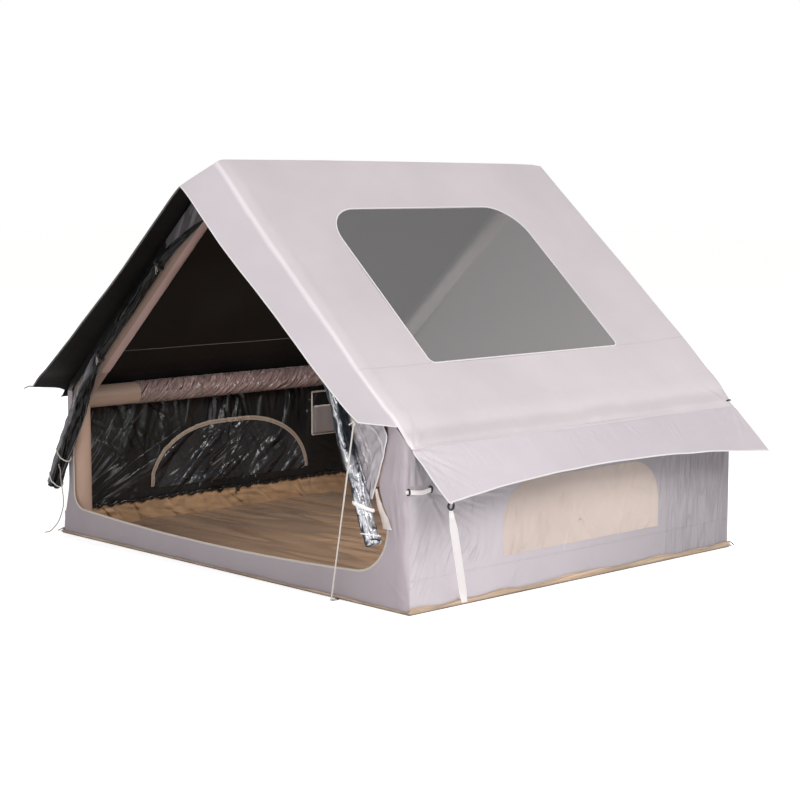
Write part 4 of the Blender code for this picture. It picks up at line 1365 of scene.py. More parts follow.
@dataclass
class Roof:
    """Both slopes, the window's film and its piping."""

    finishes: Finishes
    window_top: float = 0.375
    window_foot: float = 1.51
    window_middle: float = 0.95
    window_half: float = 0.73
    window_centre: float = -0.02
    window_round: float = 0.22
    foot_round: float = 0.03

    def window(self, grow: float = 0.0) -> Array:
        """The window's outline in slope coordinates, closed.

        Args:
            grow: How far outside the cut it runs.

        Returns:
            The outline's points.
        """
        low, high = self.window_centre - self.window_half, self.window_centre + self.window_half
        top, foot = self.window_top + self.window_round, self.window_foot - self.foot_round
        points = []
        for cx, cy, radius, start in (
            (top, low + self.window_round, self.window_round + grow, 270),
            (top, high - self.window_round, self.window_round + grow, 180),
            (foot, high - self.foot_round, self.foot_round + grow, 90),
            (foot, low + self.foot_round, self.foot_round + grow, 0),
        ):
            for angle in np.radians(np.linspace(start, start - 90, 14)):
                points.append((cx + radius * math.cos(angle), cy + radius * math.sin(angle)))
        return np.array(points)

    def lift(self, side: Side, s: Array, y: Array) -> Array:
        """The cloth's height over the slope: tubes press it out and it sags between them.

        Args:
            side: Which side of the tent.
            s: Distance down from the ridge.
            y: Place along the tent.

        Returns:
            The height at each point.
        """
        front = np.exp(-(((y + 1.2) / 0.045) ** 2)) * 0.006
        rear = np.exp(-(((y - 1.28) / 0.3) ** 2)) * 0.022 * np.sin(
            math.pi * np.clip(s / 2.05, 0, 1) ** 2.2
        ) ** 0.7
        eave = np.exp(-(((s - 1.86) / 0.07) ** 2)) * 0.009
        valley = -0.008 * np.exp(-(((s - 2.015) / 0.028) ** 2))
        middle = np.sin(math.pi * np.clip((y + 1.2) / 2.4, 0, 1)) * np.sin(math.pi * np.clip(s / 1.85, 0, 1))
        seed = 3 if side is Side.RIGHT else 8
        waves = swell(s, y, seed, 0.7, 0.0016)
        edge = smoothstep(0.0, 0.06, s) * smoothstep(SLOPE + 0.012, SLOPE - 0.03, s)
        return (front + rear + eave + valley - 0.005 * middle + waves) * edge

    def folds(self, side: Side) -> Folds:
        """Puckers along the eave's fold and at its corners.

        Args:
            side: Which side of the tent.

        Returns:
            The creases.
        """
        folds = Folds()
        seed = 20 if side is Side.RIGHT else 40
        folds.scatter((1.72, -1.2, 1.98, 1.2), 4.0, 8.0, (0.04, 0.12), 44, 0.010, 0.0016, seed)
        folds.fan((SLOPE, -HALF_LENGTH), (120.0, 172.0), (0.12, 0.4), 9, 0.013, 0.0045, seed + 1)
        folds.fan((SLOPE, REAR), (188.0, 240.0), (0.12, 0.34), 7, 0.013, 0.0035, seed + 2)
        folds.scatter((0.3, -1.215, 1.9, -1.16), 84.0, 12.0, (0.02, 0.06), 60, 0.006, 0.0014, seed + 3)
        return folds

    def surface(self, side: Side) -> Place:
        """The slope's outer face as a rule from flat coordinates to points.

        Args:
            side: Which side of the tent.

        Returns:
            The rule.
        """
        folds = self.folds(side)

        def point(s: Array, y: Array) -> Array:
            """A point of the outer face, with its creases."""
            lift = self.lift(side, s, y) + folds.lift(s, y) * smoothstep(SLOPE, SLOPE - 0.02, s)
            return slope_point(side, s, y, lift)

        return point

    def slope(self, side: Side) -> None:
        """Builds one slope's cloth, with the window's hole in the right one.

        Args:
            side: Which side of the tent.
        """
        surface = self.surface(side)
        low, high, foot = -HALF_LENGTH, REAR, SLOPE - 0.0004
        outward = (side.value * SIN, 0.0, COS)
        name = side.word + "_roof_cloth"
        if side is Side.LEFT:

            def place(u: Array, v: Array) -> Array:
                """Turns shares into points."""
                return surface(foot * u, low + (high - low) * v)

            def flat(u: Array, v: Array) -> Array:
                """Turns shares into flat coordinates."""
                return np.stack((foot * u, low + (high - low) * v), axis=1)

            piece = mapped_grid(name, 170, 210, place, flat, outward)
        else:
            outer = rectangle(0.0, low, foot, high, 0.014)
            middle = (self.window_middle, self.window_centre)
            piece = ring_sheet(name, outer, self.window(), middle, 44, surface, outward)
        hang(piece, (self.finishes.roof, self.finishes.roof_black), side.word + "_roof_panel", wall=CLOTH)

    def film(self) -> None:
        """The film is a filled outline that lies just under the cloth."""

        def place(u: Array, v: Array) -> Array:
            """Shrinks the outline towards the window's middle.

            Args:
                u: Share round the outline.
                v: Share of the way out.

            Returns:
                The points.
            """
            outline = self.window(0.012)
            loop = np.vstack((outline, outline[:1]))
            along = lengths_along(loop)
            s = np.interp(u * along[-1], along, loop[:, 0])
            y = np.interp(u * along[-1], along, loop[:, 1])
            s = self.window_middle + (s - self.window_middle) * v
            y = self.window_centre + (y - self.window_centre) * v
            return slope_point(Side.RIGHT, s, y, self.lift(Side.RIGHT, s, y) - CLOTH - 0.0006)

        piece = mapped_grid("roof_film", 180, 30, place, outward=(SIN, 0.0, COS), weld=True)
        hang(piece, self.finishes.film, "roof_window_film", wall=0.0008)

    def piping(self) -> None:
        """A pale piping sewn round the window."""
        outline = self.window(0.004)
        loop = np.vstack((outline, outline[:1]))
        lift = self.lift(Side.RIGHT, loop[:, 0], loop[:, 1]) + 0.0022
        line = slope_point(Side.RIGHT, loop[:, 0], loop[:, 1], lift)
        sweep = Sweep("window_piping", line, 0.0042, 260, 10, (SIN, 0.0, COS), 0.75, curved=False, ring=True)
        hang(sweep.build(), self.finishes.piping, "roof_window_piping")

    def rear_tab(self) -> None:
        """The end of the eave's tape, which stands out at the rear right corner."""
        s = np.full(4, 2.0)
        y = np.array((REAR - 0.03, REAR - 0.015, REAR, REAR + 0.01))
        line = slope_point(Side.RIGHT, s, y, np.array((0.002, 0.003, 0.004, 0.0)))
        tab = Sweep("roof_rear_tab", line, 0.004, 24, 8, (SIN, 0.0, COS), 1.2)
        trim(tab.build(), self.finishes.dark_tape, "right_roof_panel")

    def inner_seam(self, side: Side) -> None:
        """The sewn line along the inside of a slope.

        Args:
            side: Which side of the tent.
        """
        y = np.linspace(-1.2, 1.2, 60)
        s = np.full(60, 1.625)
        line = slope_point(side, s, y, self.lift(side, s, y) - CLOTH - 0.001)
        seam = Sweep(
            side.word + "_roof_inner_seam", line, 0.002, 70, 8, (side.value * SIN, 0.0, COS), 0.6,
            curved=False
        )
        trim(seam.build(), self.finishes.grey_piping, side.word + "_roof_panel")

    def build(self) -> None:
        """Builds the whole roof."""
        self.rear_tab()
        for side in Side:
            self.slope(side)
            self.inner_seam(side)
        self.film()
        self.piping()


def rectangle(x0: float, y0: float, x1: float, y1: float, step: float) -> Array:
    """A rectangle's outline with a point about every step, closed and with its corners."""
    corners = [(x0, y0), (x1, y0), (x1, y1), (x0, y1), (x0, y0)]
    return subdivide(corners, step)


def subdivide(corners: Iterable[Sequence[float]], step: float) -> Array:
    """Points about every step along straight runs, corners kept, the last point again the first.

    Args:
        corners: The runs' ends.
        step: The distance between them.

    Returns:
        The points.
    """
    corners = [np.array(corner, dtype=float) for corner in corners]
    points = []
    for a, b in zip(corners, corners[1:]):
        count = max(1, int(round(np.linalg.norm(b - a) / step)))
        points.extend(a + (b - a) * index / count for index in range(count))
    points.append(corners[-1])
    return np.array(points)


def ray_hits(outline: Array, centre: Sequence[float], angles: Array) -> Array:
    """Where rays from a centre meet an outline that they meet once.

    Args:
        outline: The outline's points, closed or not.
        centre: The rays' start.
        angles: The rays' directions.

    Returns:
        The distance along each ray.
    """
    loop = np.vstack((outline, outline[:1])) - np.array(centre)
    a, b = loop[:-1], loop[1:]
    reach = np.zeros(len(angles))
    for index, angle in enumerate(angles):
        dx, dy = math.cos(angle), math.sin(angle)
        cross_a = a[:, 0] * dy - a[:, 1] * dx
        cross_b = b[:, 0] * dy - b[:, 1] * dx
        with np.errstate(divide="ignore", invalid="ignore"):
            t = cross_a / (cross_a - cross_b)
        hit = a + (b - a) * t[:, None]
        along = hit[:, 0] * dx + hit[:, 1] * dy
        good = (t >= -1e-6) & (t <= 1 + 1e-6) & (along > 0)
        reach[index] = along[good].max()
    return reach


def ring_sheet(
    name: str,
    outer: Array,
    inner: Array,
    centre: Sequence[float],
    rings: int,
    surface: Place,
    outward: Sequence[float],
) -> Object:
    """A sheet with one hole, as a grid that runs round the hole.

    Args:
        name: The piece's name.
        outer: The outer outline, closed, with many points.
        inner: The hole's outline.
        centre: A point in the hole that sees both outlines all round.
        rings: Faces from the hole to the outer edge.
        surface: Turns the two flat coordinates into points.
        outward: The side that its faces point to.

    Returns:
        The new piece.
    """
    rays = outer - np.array(centre)
    angles = np.arctan2(rays[:, 1], rays[:, 0])
    inner_reach = ray_hits(inner, centre, angles)
    hole = np.stack((np.cos(angles), np.sin(angles)), axis=1) * inner_reach[:, None] + np.array(centre)
    count = len(outer) - 1

    def spread(u: Array, v: Array) -> Array:
        """Flat places between the hole and the outer edge."""
        index = nearest(u, count)
        return hole[index] + (outer[index] - hole[index]) * v[:, None]

    def place(u: Array, v: Array) -> Array:
        """The same places on the surface."""
        at = spread(u, v)
        return surface(at[:, 0], at[:, 1])

    return mapped_grid(name, count, rings, place, spread, outward, weld=True)


def fill_sheet(
    name: str,
    outline: Array,
    centre: Sequence[float],
    rings: int,
    surface: Place,
    outward: Sequence[float],
) -> Object:
    """A sheet without a hole, as rings that close on a centre.

    Args:
        name: The piece's name.
        outline: Its outline, closed, with many points.
        centre: A point that sees the outline all round.
        rings: Faces from the centre to the edge.
        surface: Turns the two flat coordinates into points.
        outward: The side that its faces point to.

    Returns:
        The new piece.
    """
    count = len(outline) - 1

    def spread(u: Array, v: Array) -> Array:
        """Flat places between the centre and the edge."""
        index = nearest(u, count)
        return np.array(centre) + (outline[index] - np.array(centre)) * v[:, None]

    def place(u: Array, v: Array) -> Array:
        """The same places on the surface."""
        at = spread(u, v)
        return surface(at[:, 0], at[:, 1])

    return mapped_grid(name, count, rings, place, spread, outward, weld=True)


@dataclass
class Overhang:
    """The two wings over the door, with their piped edges and black undersides."""

    finishes: Finishes
    roof: Roof
    reach: float = 0.23
    droop: float = 0.122
    runs: Pair = (1.975, 1.9)
    tips: Pair = (1.946, 1.85)

    def point(self, side: Side, u: Array, v: Array) -> Array:
        """A point on a wing's outer face.

        Args:
            side: Which side of the tent.
            u: Share down the slope.
            v: Share of the way forward.

        Returns:
            The points.
        """
        which = 0 if side is Side.LEFT else 1
        run = self.tips[which] + (self.runs[which] - self.tips[which]) * (
            (1 - v) ** 5 if side is Side.LEFT else 1 - v
        )
        s = run * u
        edge = self.roof.surface(side)(s, np.full_like(s, -HALF_LENGTH))
        wave = 0.003 * np.sin(s * 7.0 + side.value) * v + swell(s, v * self.reach, 5, 0.3, 0.0014) * v
        forward = 0.002 - (self.reach + 0.002) * v
        tuck = 0.0009 * (1 - v) ** 8
        if side is Side.LEFT:
            wave = wave + 0.015 * v * smoothstep(0.5, 0.95, u)
        return edge + np.stack((np.zeros_like(s), forward, wave - tuck - self.droop * (1 - u) * v), axis=1)

    def build(self) -> None:
        """Builds both wings and their piping."""
        for side in Side:
            name = side.word + "_wing_cloth"
            piece = mapped_grid(name, 110, 18, lambda u, v: self.point(side, u, v), outward=UP)
            node = side.word + "_overhang"
            hang(piece, (self.finishes.wing, self.finishes.roof_black), node, wall=CLOTH)
            fraction = np.linspace(0.0, 1.0, 60)
            front = self.point(side, fraction, np.ones(60))
            lower = self.point(side, np.ones(14), np.linspace(1.0, 0.02, 14))
            line = np.vstack((front, lower[1:])) - np.array((0.0, 0.0, CLOTH / 2))
            tape = Sweep(side.word + "_wing_piping", line, 0.005, 170, 10, (0.0, 0.3, 1.0), 0.7, curved=False)
            trim(
                tape.build(), self.finishes.piping if side is Side.RIGHT else self.finishes.grey_piping, node
            )
            if side is Side.LEFT:
                tip = front[-1]
                ends = [
                    tip, tip + (-0.03, -0.003, 0.0), tip + (-0.058, -0.005, -0.007),
                    tip + (-0.086, -0.007, -0.018)
                ]
                tab = Sweep("left_wing_tab", np.array(ends), 0.0042, 30, 8, TO_REAR, 0.7)
                trim(tab.build(), self.finishes.tie, node)


@dataclass
class Awnings:
    """The two long awnings below the eaves."""

    finishes: Finishes
    depth: float = 0.345
    scoop: float = 0.09

    def span(self, side: Side) -> Pair:
        """The awning's front and rear ends.

        Args:
            side: Which side of the tent.

        Returns:
            The two places along the tent.
        """
        return (-HALF_LENGTH + 0.07, REAR - 0.035) if side is Side.LEFT else (
            -HALF_LENGTH + 0.004, REAR - 0.004
        )

    def lower(self, side: Side, y: Array) -> Array:
        """The hollowed lower edge's distance from the fold.

        Args:
            side: Which side of the tent.
            y: Place along the tent.

        Returns:
            The distance at each place.
        """
        front, rear = self.span(side)
        share = (y - (front + rear) / 2) / ((rear - front) / 2)
        return self.depth - self.scoop * (1 - share**2)

    def build(self) -> None:
        """Builds both awnings and their piping."""
        for side in Side:
            front, rear = self.span(side)
            down = (COS, -SIN) if side is Side.RIGHT else (0.0, -1.0)
            out = (SIN, COS) if side is Side.RIGHT else (1.0, 0.0)
            pivot = (EAVE_X - 0.0015 * SIN, EAVE - 0.0015 * COS)
            folds = Folds()
            folds.scatter((0.03, front, 0.12, rear), 0.0, 14.0, (0.04, 0.2), 40, 0.010, 0.0022, 11)
            folds.fan((0.0, front), (8.0, 75.0), (0.15, 0.42), 12, 0.013, 0.005, 12)
            folds.fan((self.depth, front), (95.0, 172.0), (0.1, 0.42), 8, 0.012, 0.003, 13)
            folds.fan((0.0, rear), (-75.0, -8.0), (0.15, 0.36), 8, 0.013, 0.0035, 14)

            def point(d: Array, y: Array) -> Array:
                """A point of the outer face, with its creases.

                Args:
                    d: Distance down from the fold.
                    y: Place along the tent.

                Returns:
                    The points.
                """
                ease = smoothstep(0.0, 0.02, d)
                lift = (
                    folds.lift(d, y) + swell(d, y, 6, 0.35, 0.002)
                ) * ease - 0.0018 * (1 - ease) + CLOTH / 2
                if side is Side.LEFT:
                    lift = np.abs(lift - CLOTH / 2) + CLOTH / 2
                x = pivot[0] + down[0] * d + out[0] * lift
                z = pivot[1] + down[1] * d + out[1] * lift
                return np.stack((side.value * x, y, z), axis=1)

            def place(u: Array, v: Array) -> Array:
                """Turns shares into points."""
                y = front + (rear - front) * v
                return point(-0.0015 + (self.lower(side, y) - 0.0013) * u, y)

            name = side.word + "_awning"
            body = name + "_body"
            piece = mapped_grid(name + "_cloth", 40, 300, place, outward=(side.value * out[0], 0.0, out[1]))
            hang(piece, (self.finishes.awning, self.finishes.roof_black), name, body=body, wall=CLOTH)
            share = np.linspace(0.0, 1.0, 90)
            ends = np.linspace(0.03, 1.0, 16)
            edge_in, edge_out = place(ends, np.zeros(16)), place(ends[::-1], np.ones(16))
            line = np.vstack((edge_in, place(np.ones(90), share)[1:], edge_out[1:]))
            line -= np.array((side.value * out[0], 0.0, out[1])) * CLOTH / 2
            reference = (side.value * out[0], 0.01, out[1])
            tape = Sweep(name + "_piping", line, 0.0048, 260, 10, reference, 0.65, curved=False)
            trim(tape.build(), self.finishes.piping, name, body=body)


@dataclass(frozen=True)
class Wall:
    """A wall with an arched window: the way it looks, and how its window is cut."""

    word: str
    outward: Triple
    centre: float
    half: float
    top: float
    reach: float
    rise: float

    @property
    def inward(self) -> Triple:
        """The way its inner face looks."""
        return tuple(-part for part in self.outward)

    @property
    def width(self) -> float:
        """Half the length between its corners."""
        return HALF_WIDTH if self is REAR_WALL else HALF_LENGTH


LEFT_WALL = Wall("left", TO_LEFT, 0.01, 0.6, 0.545, 0.5, 0.33)
RIGHT_WALL = Wall("right", TO_RIGHT, 0.01, 0.62, 0.585, 0.22, 0.22)
REAR_WALL = Wall("rear", TO_REAR, 0.0, 0.62, 0.585, 0.22, 0.22)


@dataclass
class SideWalls:
    """The left, right and rear walls: grey outside and black inside, each with its arched window."""

    finishes: Finishes
    roof: Roof
    foot: float = 0.205
    middle: float = 0.33
    wall_top: float = 0.8285

    def pane(self, wall: Wall, grow: float) -> Array:
        """A window's outline along the wall and up, closed.

        Args:
            wall: The wall.
            grow: How far outside the cut it runs.

        Returns:
            The outline's points.
        """
        high = wall.top - wall.rise
        points = [
            (wall.centre - wall.half - grow, self.foot - grow),
            (wall.centre + wall.half + grow, self.foot - grow)
        ]
        for cx, start in (
            (wall.centre + wall.half - wall.reach, 0.0), (wall.centre - wall.half + wall.reach, 90.0)
        ):
            for angle in np.radians(np.linspace(start, start + 90.0, 24)):
                points.append(
                    (cx + (wall.reach + grow) * math.cos(angle), high + (wall.rise + grow) * math.sin(angle))
                )
        return subdivide([*points, points[0]], 0.014)

    def folds(self, wall: Wall) -> Folds:
        """Each wall's own creases.

        Args:
            wall: The wall.

        Returns:
            The creases.
        """
        folds = Folds()
        if wall is RIGHT_WALL:
            folds.fan((-1.16, 0.62), (-62.0, 22.0), (0.2, 0.75), 20, 0.008, 0.0032, 51)
            folds.scatter((-1.2, 0.2, -0.62, 0.75), 88.0, 7.0, (0.15, 0.42), 16, 0.011, 0.0036, 52)
            folds.scatter((0.66, 0.2, 1.2, 0.78), 91.0, 6.0, (0.2, 0.5), 22, 0.014, 0.005, 53)
            folds.scatter((-0.6, 0.6, 0.7, 0.8), 75.0, 25.0, (0.08, 0.2), 22, 0.009, 0.003, 54)
            folds.scatter((-0.55, 0.22, 0.6, 0.56), 60.0, 40.0, (0.1, 0.3), 16, 0.012, 0.0022, 56)
            folds.items.append(Fold((0.05, 0.2), (-0.03, 0.36), 0.014, -0.006))
            folds.items.append(Fold((-0.48, 0.2), (-0.5, 0.4), 0.014, 0.005))
        elif wall is LEFT_WALL:
            folds.fan((-1.45, -0.12), (28.0, 62.0), (0.5, 1.05), 26, 0.0065, 0.0042, 61)
            folds.scatter((-0.75, 0.56, 1.15, 0.8), 97.0, 12.0, (0.16, 0.4), 58, 0.011, 0.0062, 62)
            folds.scatter((-1.1, 0.3, -0.6, 0.78), 120.0, 14.0, (0.2, 0.5), 16, 0.012, 0.006, 63)
            folds.scatter((-1.2, 0.15, 1.2, 0.26), 60.0, 30.0, (0.05, 0.15), 60, 0.007, 0.0034, 64)
        else:
            folds.scatter((-1.3, 0.2, 1.3, 0.85), 88.0, 12.0, (0.2, 0.5), 40, 0.013, 0.004, 71)
            folds.scatter((-0.9, 0.8, 0.9, 1.4), 80.0, 30.0, (0.2, 0.5), 20, 0.016, 0.003, 72)
        return folds

    def bow(self, wall: Wall, a: Array, z: Array) -> Array:
        """How far the cloth stands off its plane, outwards positive.

        Args:
            wall: The wall.
            a: Place along the wall.
            z: Height over the ground.

        Returns:
            The distance at each point.
        """
        folds = self.folds(wall)
        edge = smoothstep(0.0, 0.05, wall.width - np.abs(a)) * smoothstep(0.14, 0.2, z)
        high = np.full_like(z, self.wall_top) if wall is not REAR_WALL else RIDGE - 0.01 - TAN * np.abs(a)
        edge = edge * smoothstep(0.0, 0.05, high - z)
        wave = swell(a, z, len(wall.word), 0.3, 0.0022)
        return (2.0 * folds.lift(a, z) + wave) * edge

    def surface(self, wall: Wall) -> Place:
        """The wall's outer face, rounded where it turns the corner.

        Args:
            wall: The wall.

        Returns:
            A rule from place along the wall and height to points.
        """

        def point(a: Array, z: Array) -> Array:
            """A point of the outer face.

            Args:
                a: Place along the wall.
                z: Height over the ground.

            Returns:
                The points.
            """
            at_rear = np.full(a.shape, True) if wall is REAR_WALL else a > 0
            radius = np.where(at_rear, 0.006, corner_radius(z, (a < 0) & (wall is LEFT_WALL)))
            lean, back = round_corner(a, wall.width, radius)
            inward = back - self.bow(wall, a, z)
            if wall is REAR_WALL:
                return np.stack((lean, HALF_LENGTH - inward, z), axis=1)
            sign = wall.outward[0]
            return np.stack((sign * (HALF_WIDTH - inward), lean, z), axis=1)

        return point

    def build(self) -> None:
        """Builds all three walls with their windows."""
        for wall in (LEFT_WALL, RIGHT_WALL, REAR_WALL):
            surface = self.surface(wall)
            if wall is REAR_WALL:
                corners = [
                    (-HALF_WIDTH, WALL_FOOT), (HALF_WIDTH, WALL_FOOT), *self.gable_line(),
                    (-HALF_WIDTH, WALL_FOOT)
                ]
                outer = subdivide(corners, 0.016)
            else:
                outer = rectangle(-HALF_LENGTH, WALL_FOOT, HALF_LENGTH, self.wall_top, 0.011)
            middle = (wall.centre, self.middle)
            cloth = ring_sheet(
                wall.word + "_wall_cloth", outer, self.pane(wall, 0.0), middle, 46, surface, wall.outward
            )
            hang(
                cloth,
                (self.finishes.wall if wall is RIGHT_WALL else self.finishes.far_wall, self.finishes.black),
                wall.word + "_wall", wall=CLOTH
            )
            pane = fill_sheet(
                wall.word + "_window_cloth", self.pane(wall, -0.0004), middle, 26, surface, wall.outward
            )
            hang(pane, self.finishes.pane, wall.word + "_window_mesh", wall=FLAP)
            self.cover(wall)
            self.zip(wall)

    def gable_line(self) -> list[Pair]:
        """The rear wall's top, from right to left, just under the roof cloth.

        Returns:
            Its corners.
        """
        s = np.linspace(SLOPE - 0.02, 0.0, 40)
        y = np.full_like(s, HALF_LENGTH - 0.003)
        lift = self.roof.lift(Side.RIGHT, s, y) - CLOTH - 0.0015
        line = slope_point(
            Side.RIGHT, s, y, np.minimum(lift, self.roof.lift(Side.LEFT, s, y) - CLOTH - 0.0015)
        )
        right = [(min(float(x), HALF_WIDTH), float(z)) for x, _, z in line]
        right[-1] = (0.0, right[-1][1])
        return [
            (HALF_WIDTH, self.wall_top), *right, *[(-x, z) for x, z in right[-2::-1]],
            (-HALF_WIDTH, self.wall_top)
        ]

    def inner(self, wall: Wall, a: Array, z: Array, depth: Array) -> Array:
        """A point on the inside of a wall, so far in from its outer plane.

        Args:
            wall: The wall.
            a: Place along the wall.
            z: Height over the ground.
            depth: How far in it lies.

        Returns:
            The points.
        """
        if wall is REAR_WALL:
            return np.stack((a, HALF_LENGTH - depth, z), axis=1)
        sign = wall.outward[0]
        return np.stack((sign * (HALF_WIDTH - depth), a, z), axis=1)

    def cover(self, wall: Wall) -> None:
        """The black cover that zips over the window, crumpled and shiny.

        Args:
            wall: The wall.
        """
        folds = Folds()
        centre, half = wall.centre, wall.half
        area = (centre - half, self.foot, centre + half, wall.top)
        folds.scatter(area, 35.0, 38.0, (0.05, 0.16), 80, 0.008, 0.0052, 81)
        folds.scatter(
            (centre - 0.35, 0.3, centre + 0.45, 0.5), 55.0, 14.0, (0.08, 0.2), 22, 0.010, 0.0075, 82
        )

        def surface(a: Array, z: Array) -> Array:
            """A point of the cover's face.

            Args:
                a: Place along the wall.
                z: Height over the ground.

            Returns:
                The points.
            """
            edge = smoothstep(0.0, 0.03, z - self.foot + 0.01) * smoothstep(0.0, 0.03, wall.top + 0.01 - z)
            puff = np.clip(folds.lift(a, z), 0.0, 0.012) + 0.004 * np.abs(swell(a, z, 83, 0.16, 1.0))
            return self.inner(wall, a, z, 0.0064 + puff * edge - self.bow(wall, a, z))

        outline = self.pane(wall, 0.009)
        piece = fill_sheet(
            wall.word + "_flap_cloth", outline, (centre, self.middle), 44, surface, wall.inward
        )
        hang(
            piece, self.finishes.flap_black, wall.word + "_window_flap", body=wall.word + "_flap_body",
            wall=FLAP
        )

    def zip(self, wall: Wall) -> None:
        """The zip's tape, its line of teeth and the slider's pull.

        Args:
            wall: The wall.
        """
        outline = self.pane(wall, 0.026)
        arch = outline[outline[:, 1] > self.foot + 0.004]
        order = np.argsort(np.arctan2(arch[:, 1] - 0.1, arch[:, 0] - wall.centre))
        arch = arch[order]
        arch = np.vstack(((arch[0][0], self.foot), arch, (arch[-1][0], self.foot)))
        for name, radius, squeeze, depth, finish in (
            (wall.word + "_zip_tape", 0.0145, 0.09, 0.0068, self.finishes.zip),
            (wall.word + "_zip_teeth", 0.0032, 0.6, 0.0084, self.finishes.metal_zip),
        ):
            line = self.inner(wall, arch[:, 0], arch[:, 1], depth - self.bow(wall, arch[:, 0], arch[:, 1]))
            teeth = name.endswith("teeth")
            shape = (lambda t, angle: 1.0 + 0.22 * np.sign(np.sin(t * 900.0))) if teeth else None
            sweep = Sweep(
                name, line, radius, 420 if teeth else 160, 8 if teeth else 12, wall.inward, squeeze, shape,
                curved=False, cap=0.2
            )
            hang(sweep.build(), finish, wall.word + "_window_zip", replaces=not teeth)
        self.pull(wall)

    def pull(self, wall: Wall) -> None:
        """A cord pull that hangs from the zip's slider.

        Args:
            wall: The wall.
        """
        low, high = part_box(wall.word + "_zip_slider")
        middle = (low + high) / 2
        axis = Vector(wall.inward)
        start = middle + axis * 0.004 - Vector((0.0, 0.0, 0.004))
        points = [
            start + axis * 0.002 - Vector((0.0, 0.0, drop)) for drop in (0.0, 0.012, 0.024, 0.036, 0.05)
        ]
        line = np.array([list(p) for p in points])
        shape = lambda t, angle: 0.55 + 0.6 * smoothstep(0.45, 0.6, t)
        piece = Sweep(wall.word + "_zip_pull", line, 0.0032, 24, 10, (0.3, 0.4, 0.01), 1.0, shape)
        trim(piece.build(), self.finishes.plastic, wall.word + "_zip_slider", body=wall.word + "_slider_body")


def corner_radius(z: Array, far_left: Array) -> Array:
    """The walls' upright corners are tight at the floor and round above it, most of all the front left one.

    Args:
        z: The height.
        far_left: Where the front left corner is meant.

    Returns:
        The radius at each point.
    """
    return 0.005 + np.where(far_left, 0.09, 0.055) * smoothstep(0.02, 0.34, z)


def round_corner(a: Array, width: float, radius: Array) -> tuple[Array, Array]:
    """Turns a wall's ends through the first half of a rounded corner.

    Args:
        a: Place along the wall.
        width: The corner's place.
        radius: The corner's radius at each point.

    Returns:
        The place along the wall and how far back it lies.
    """
    t = np.clip((np.abs(a) - (width - radius)) / radius, 0.0, 1.0)
    angle = t * math.pi / 4
    bent = (width - radius) + radius * np.sin(angle)
    along = np.where(t > 0, np.sign(a) * bent, a)
    return along, np.where(t > 0, radius * (1.0 - np.cos(angle)), 0.0)


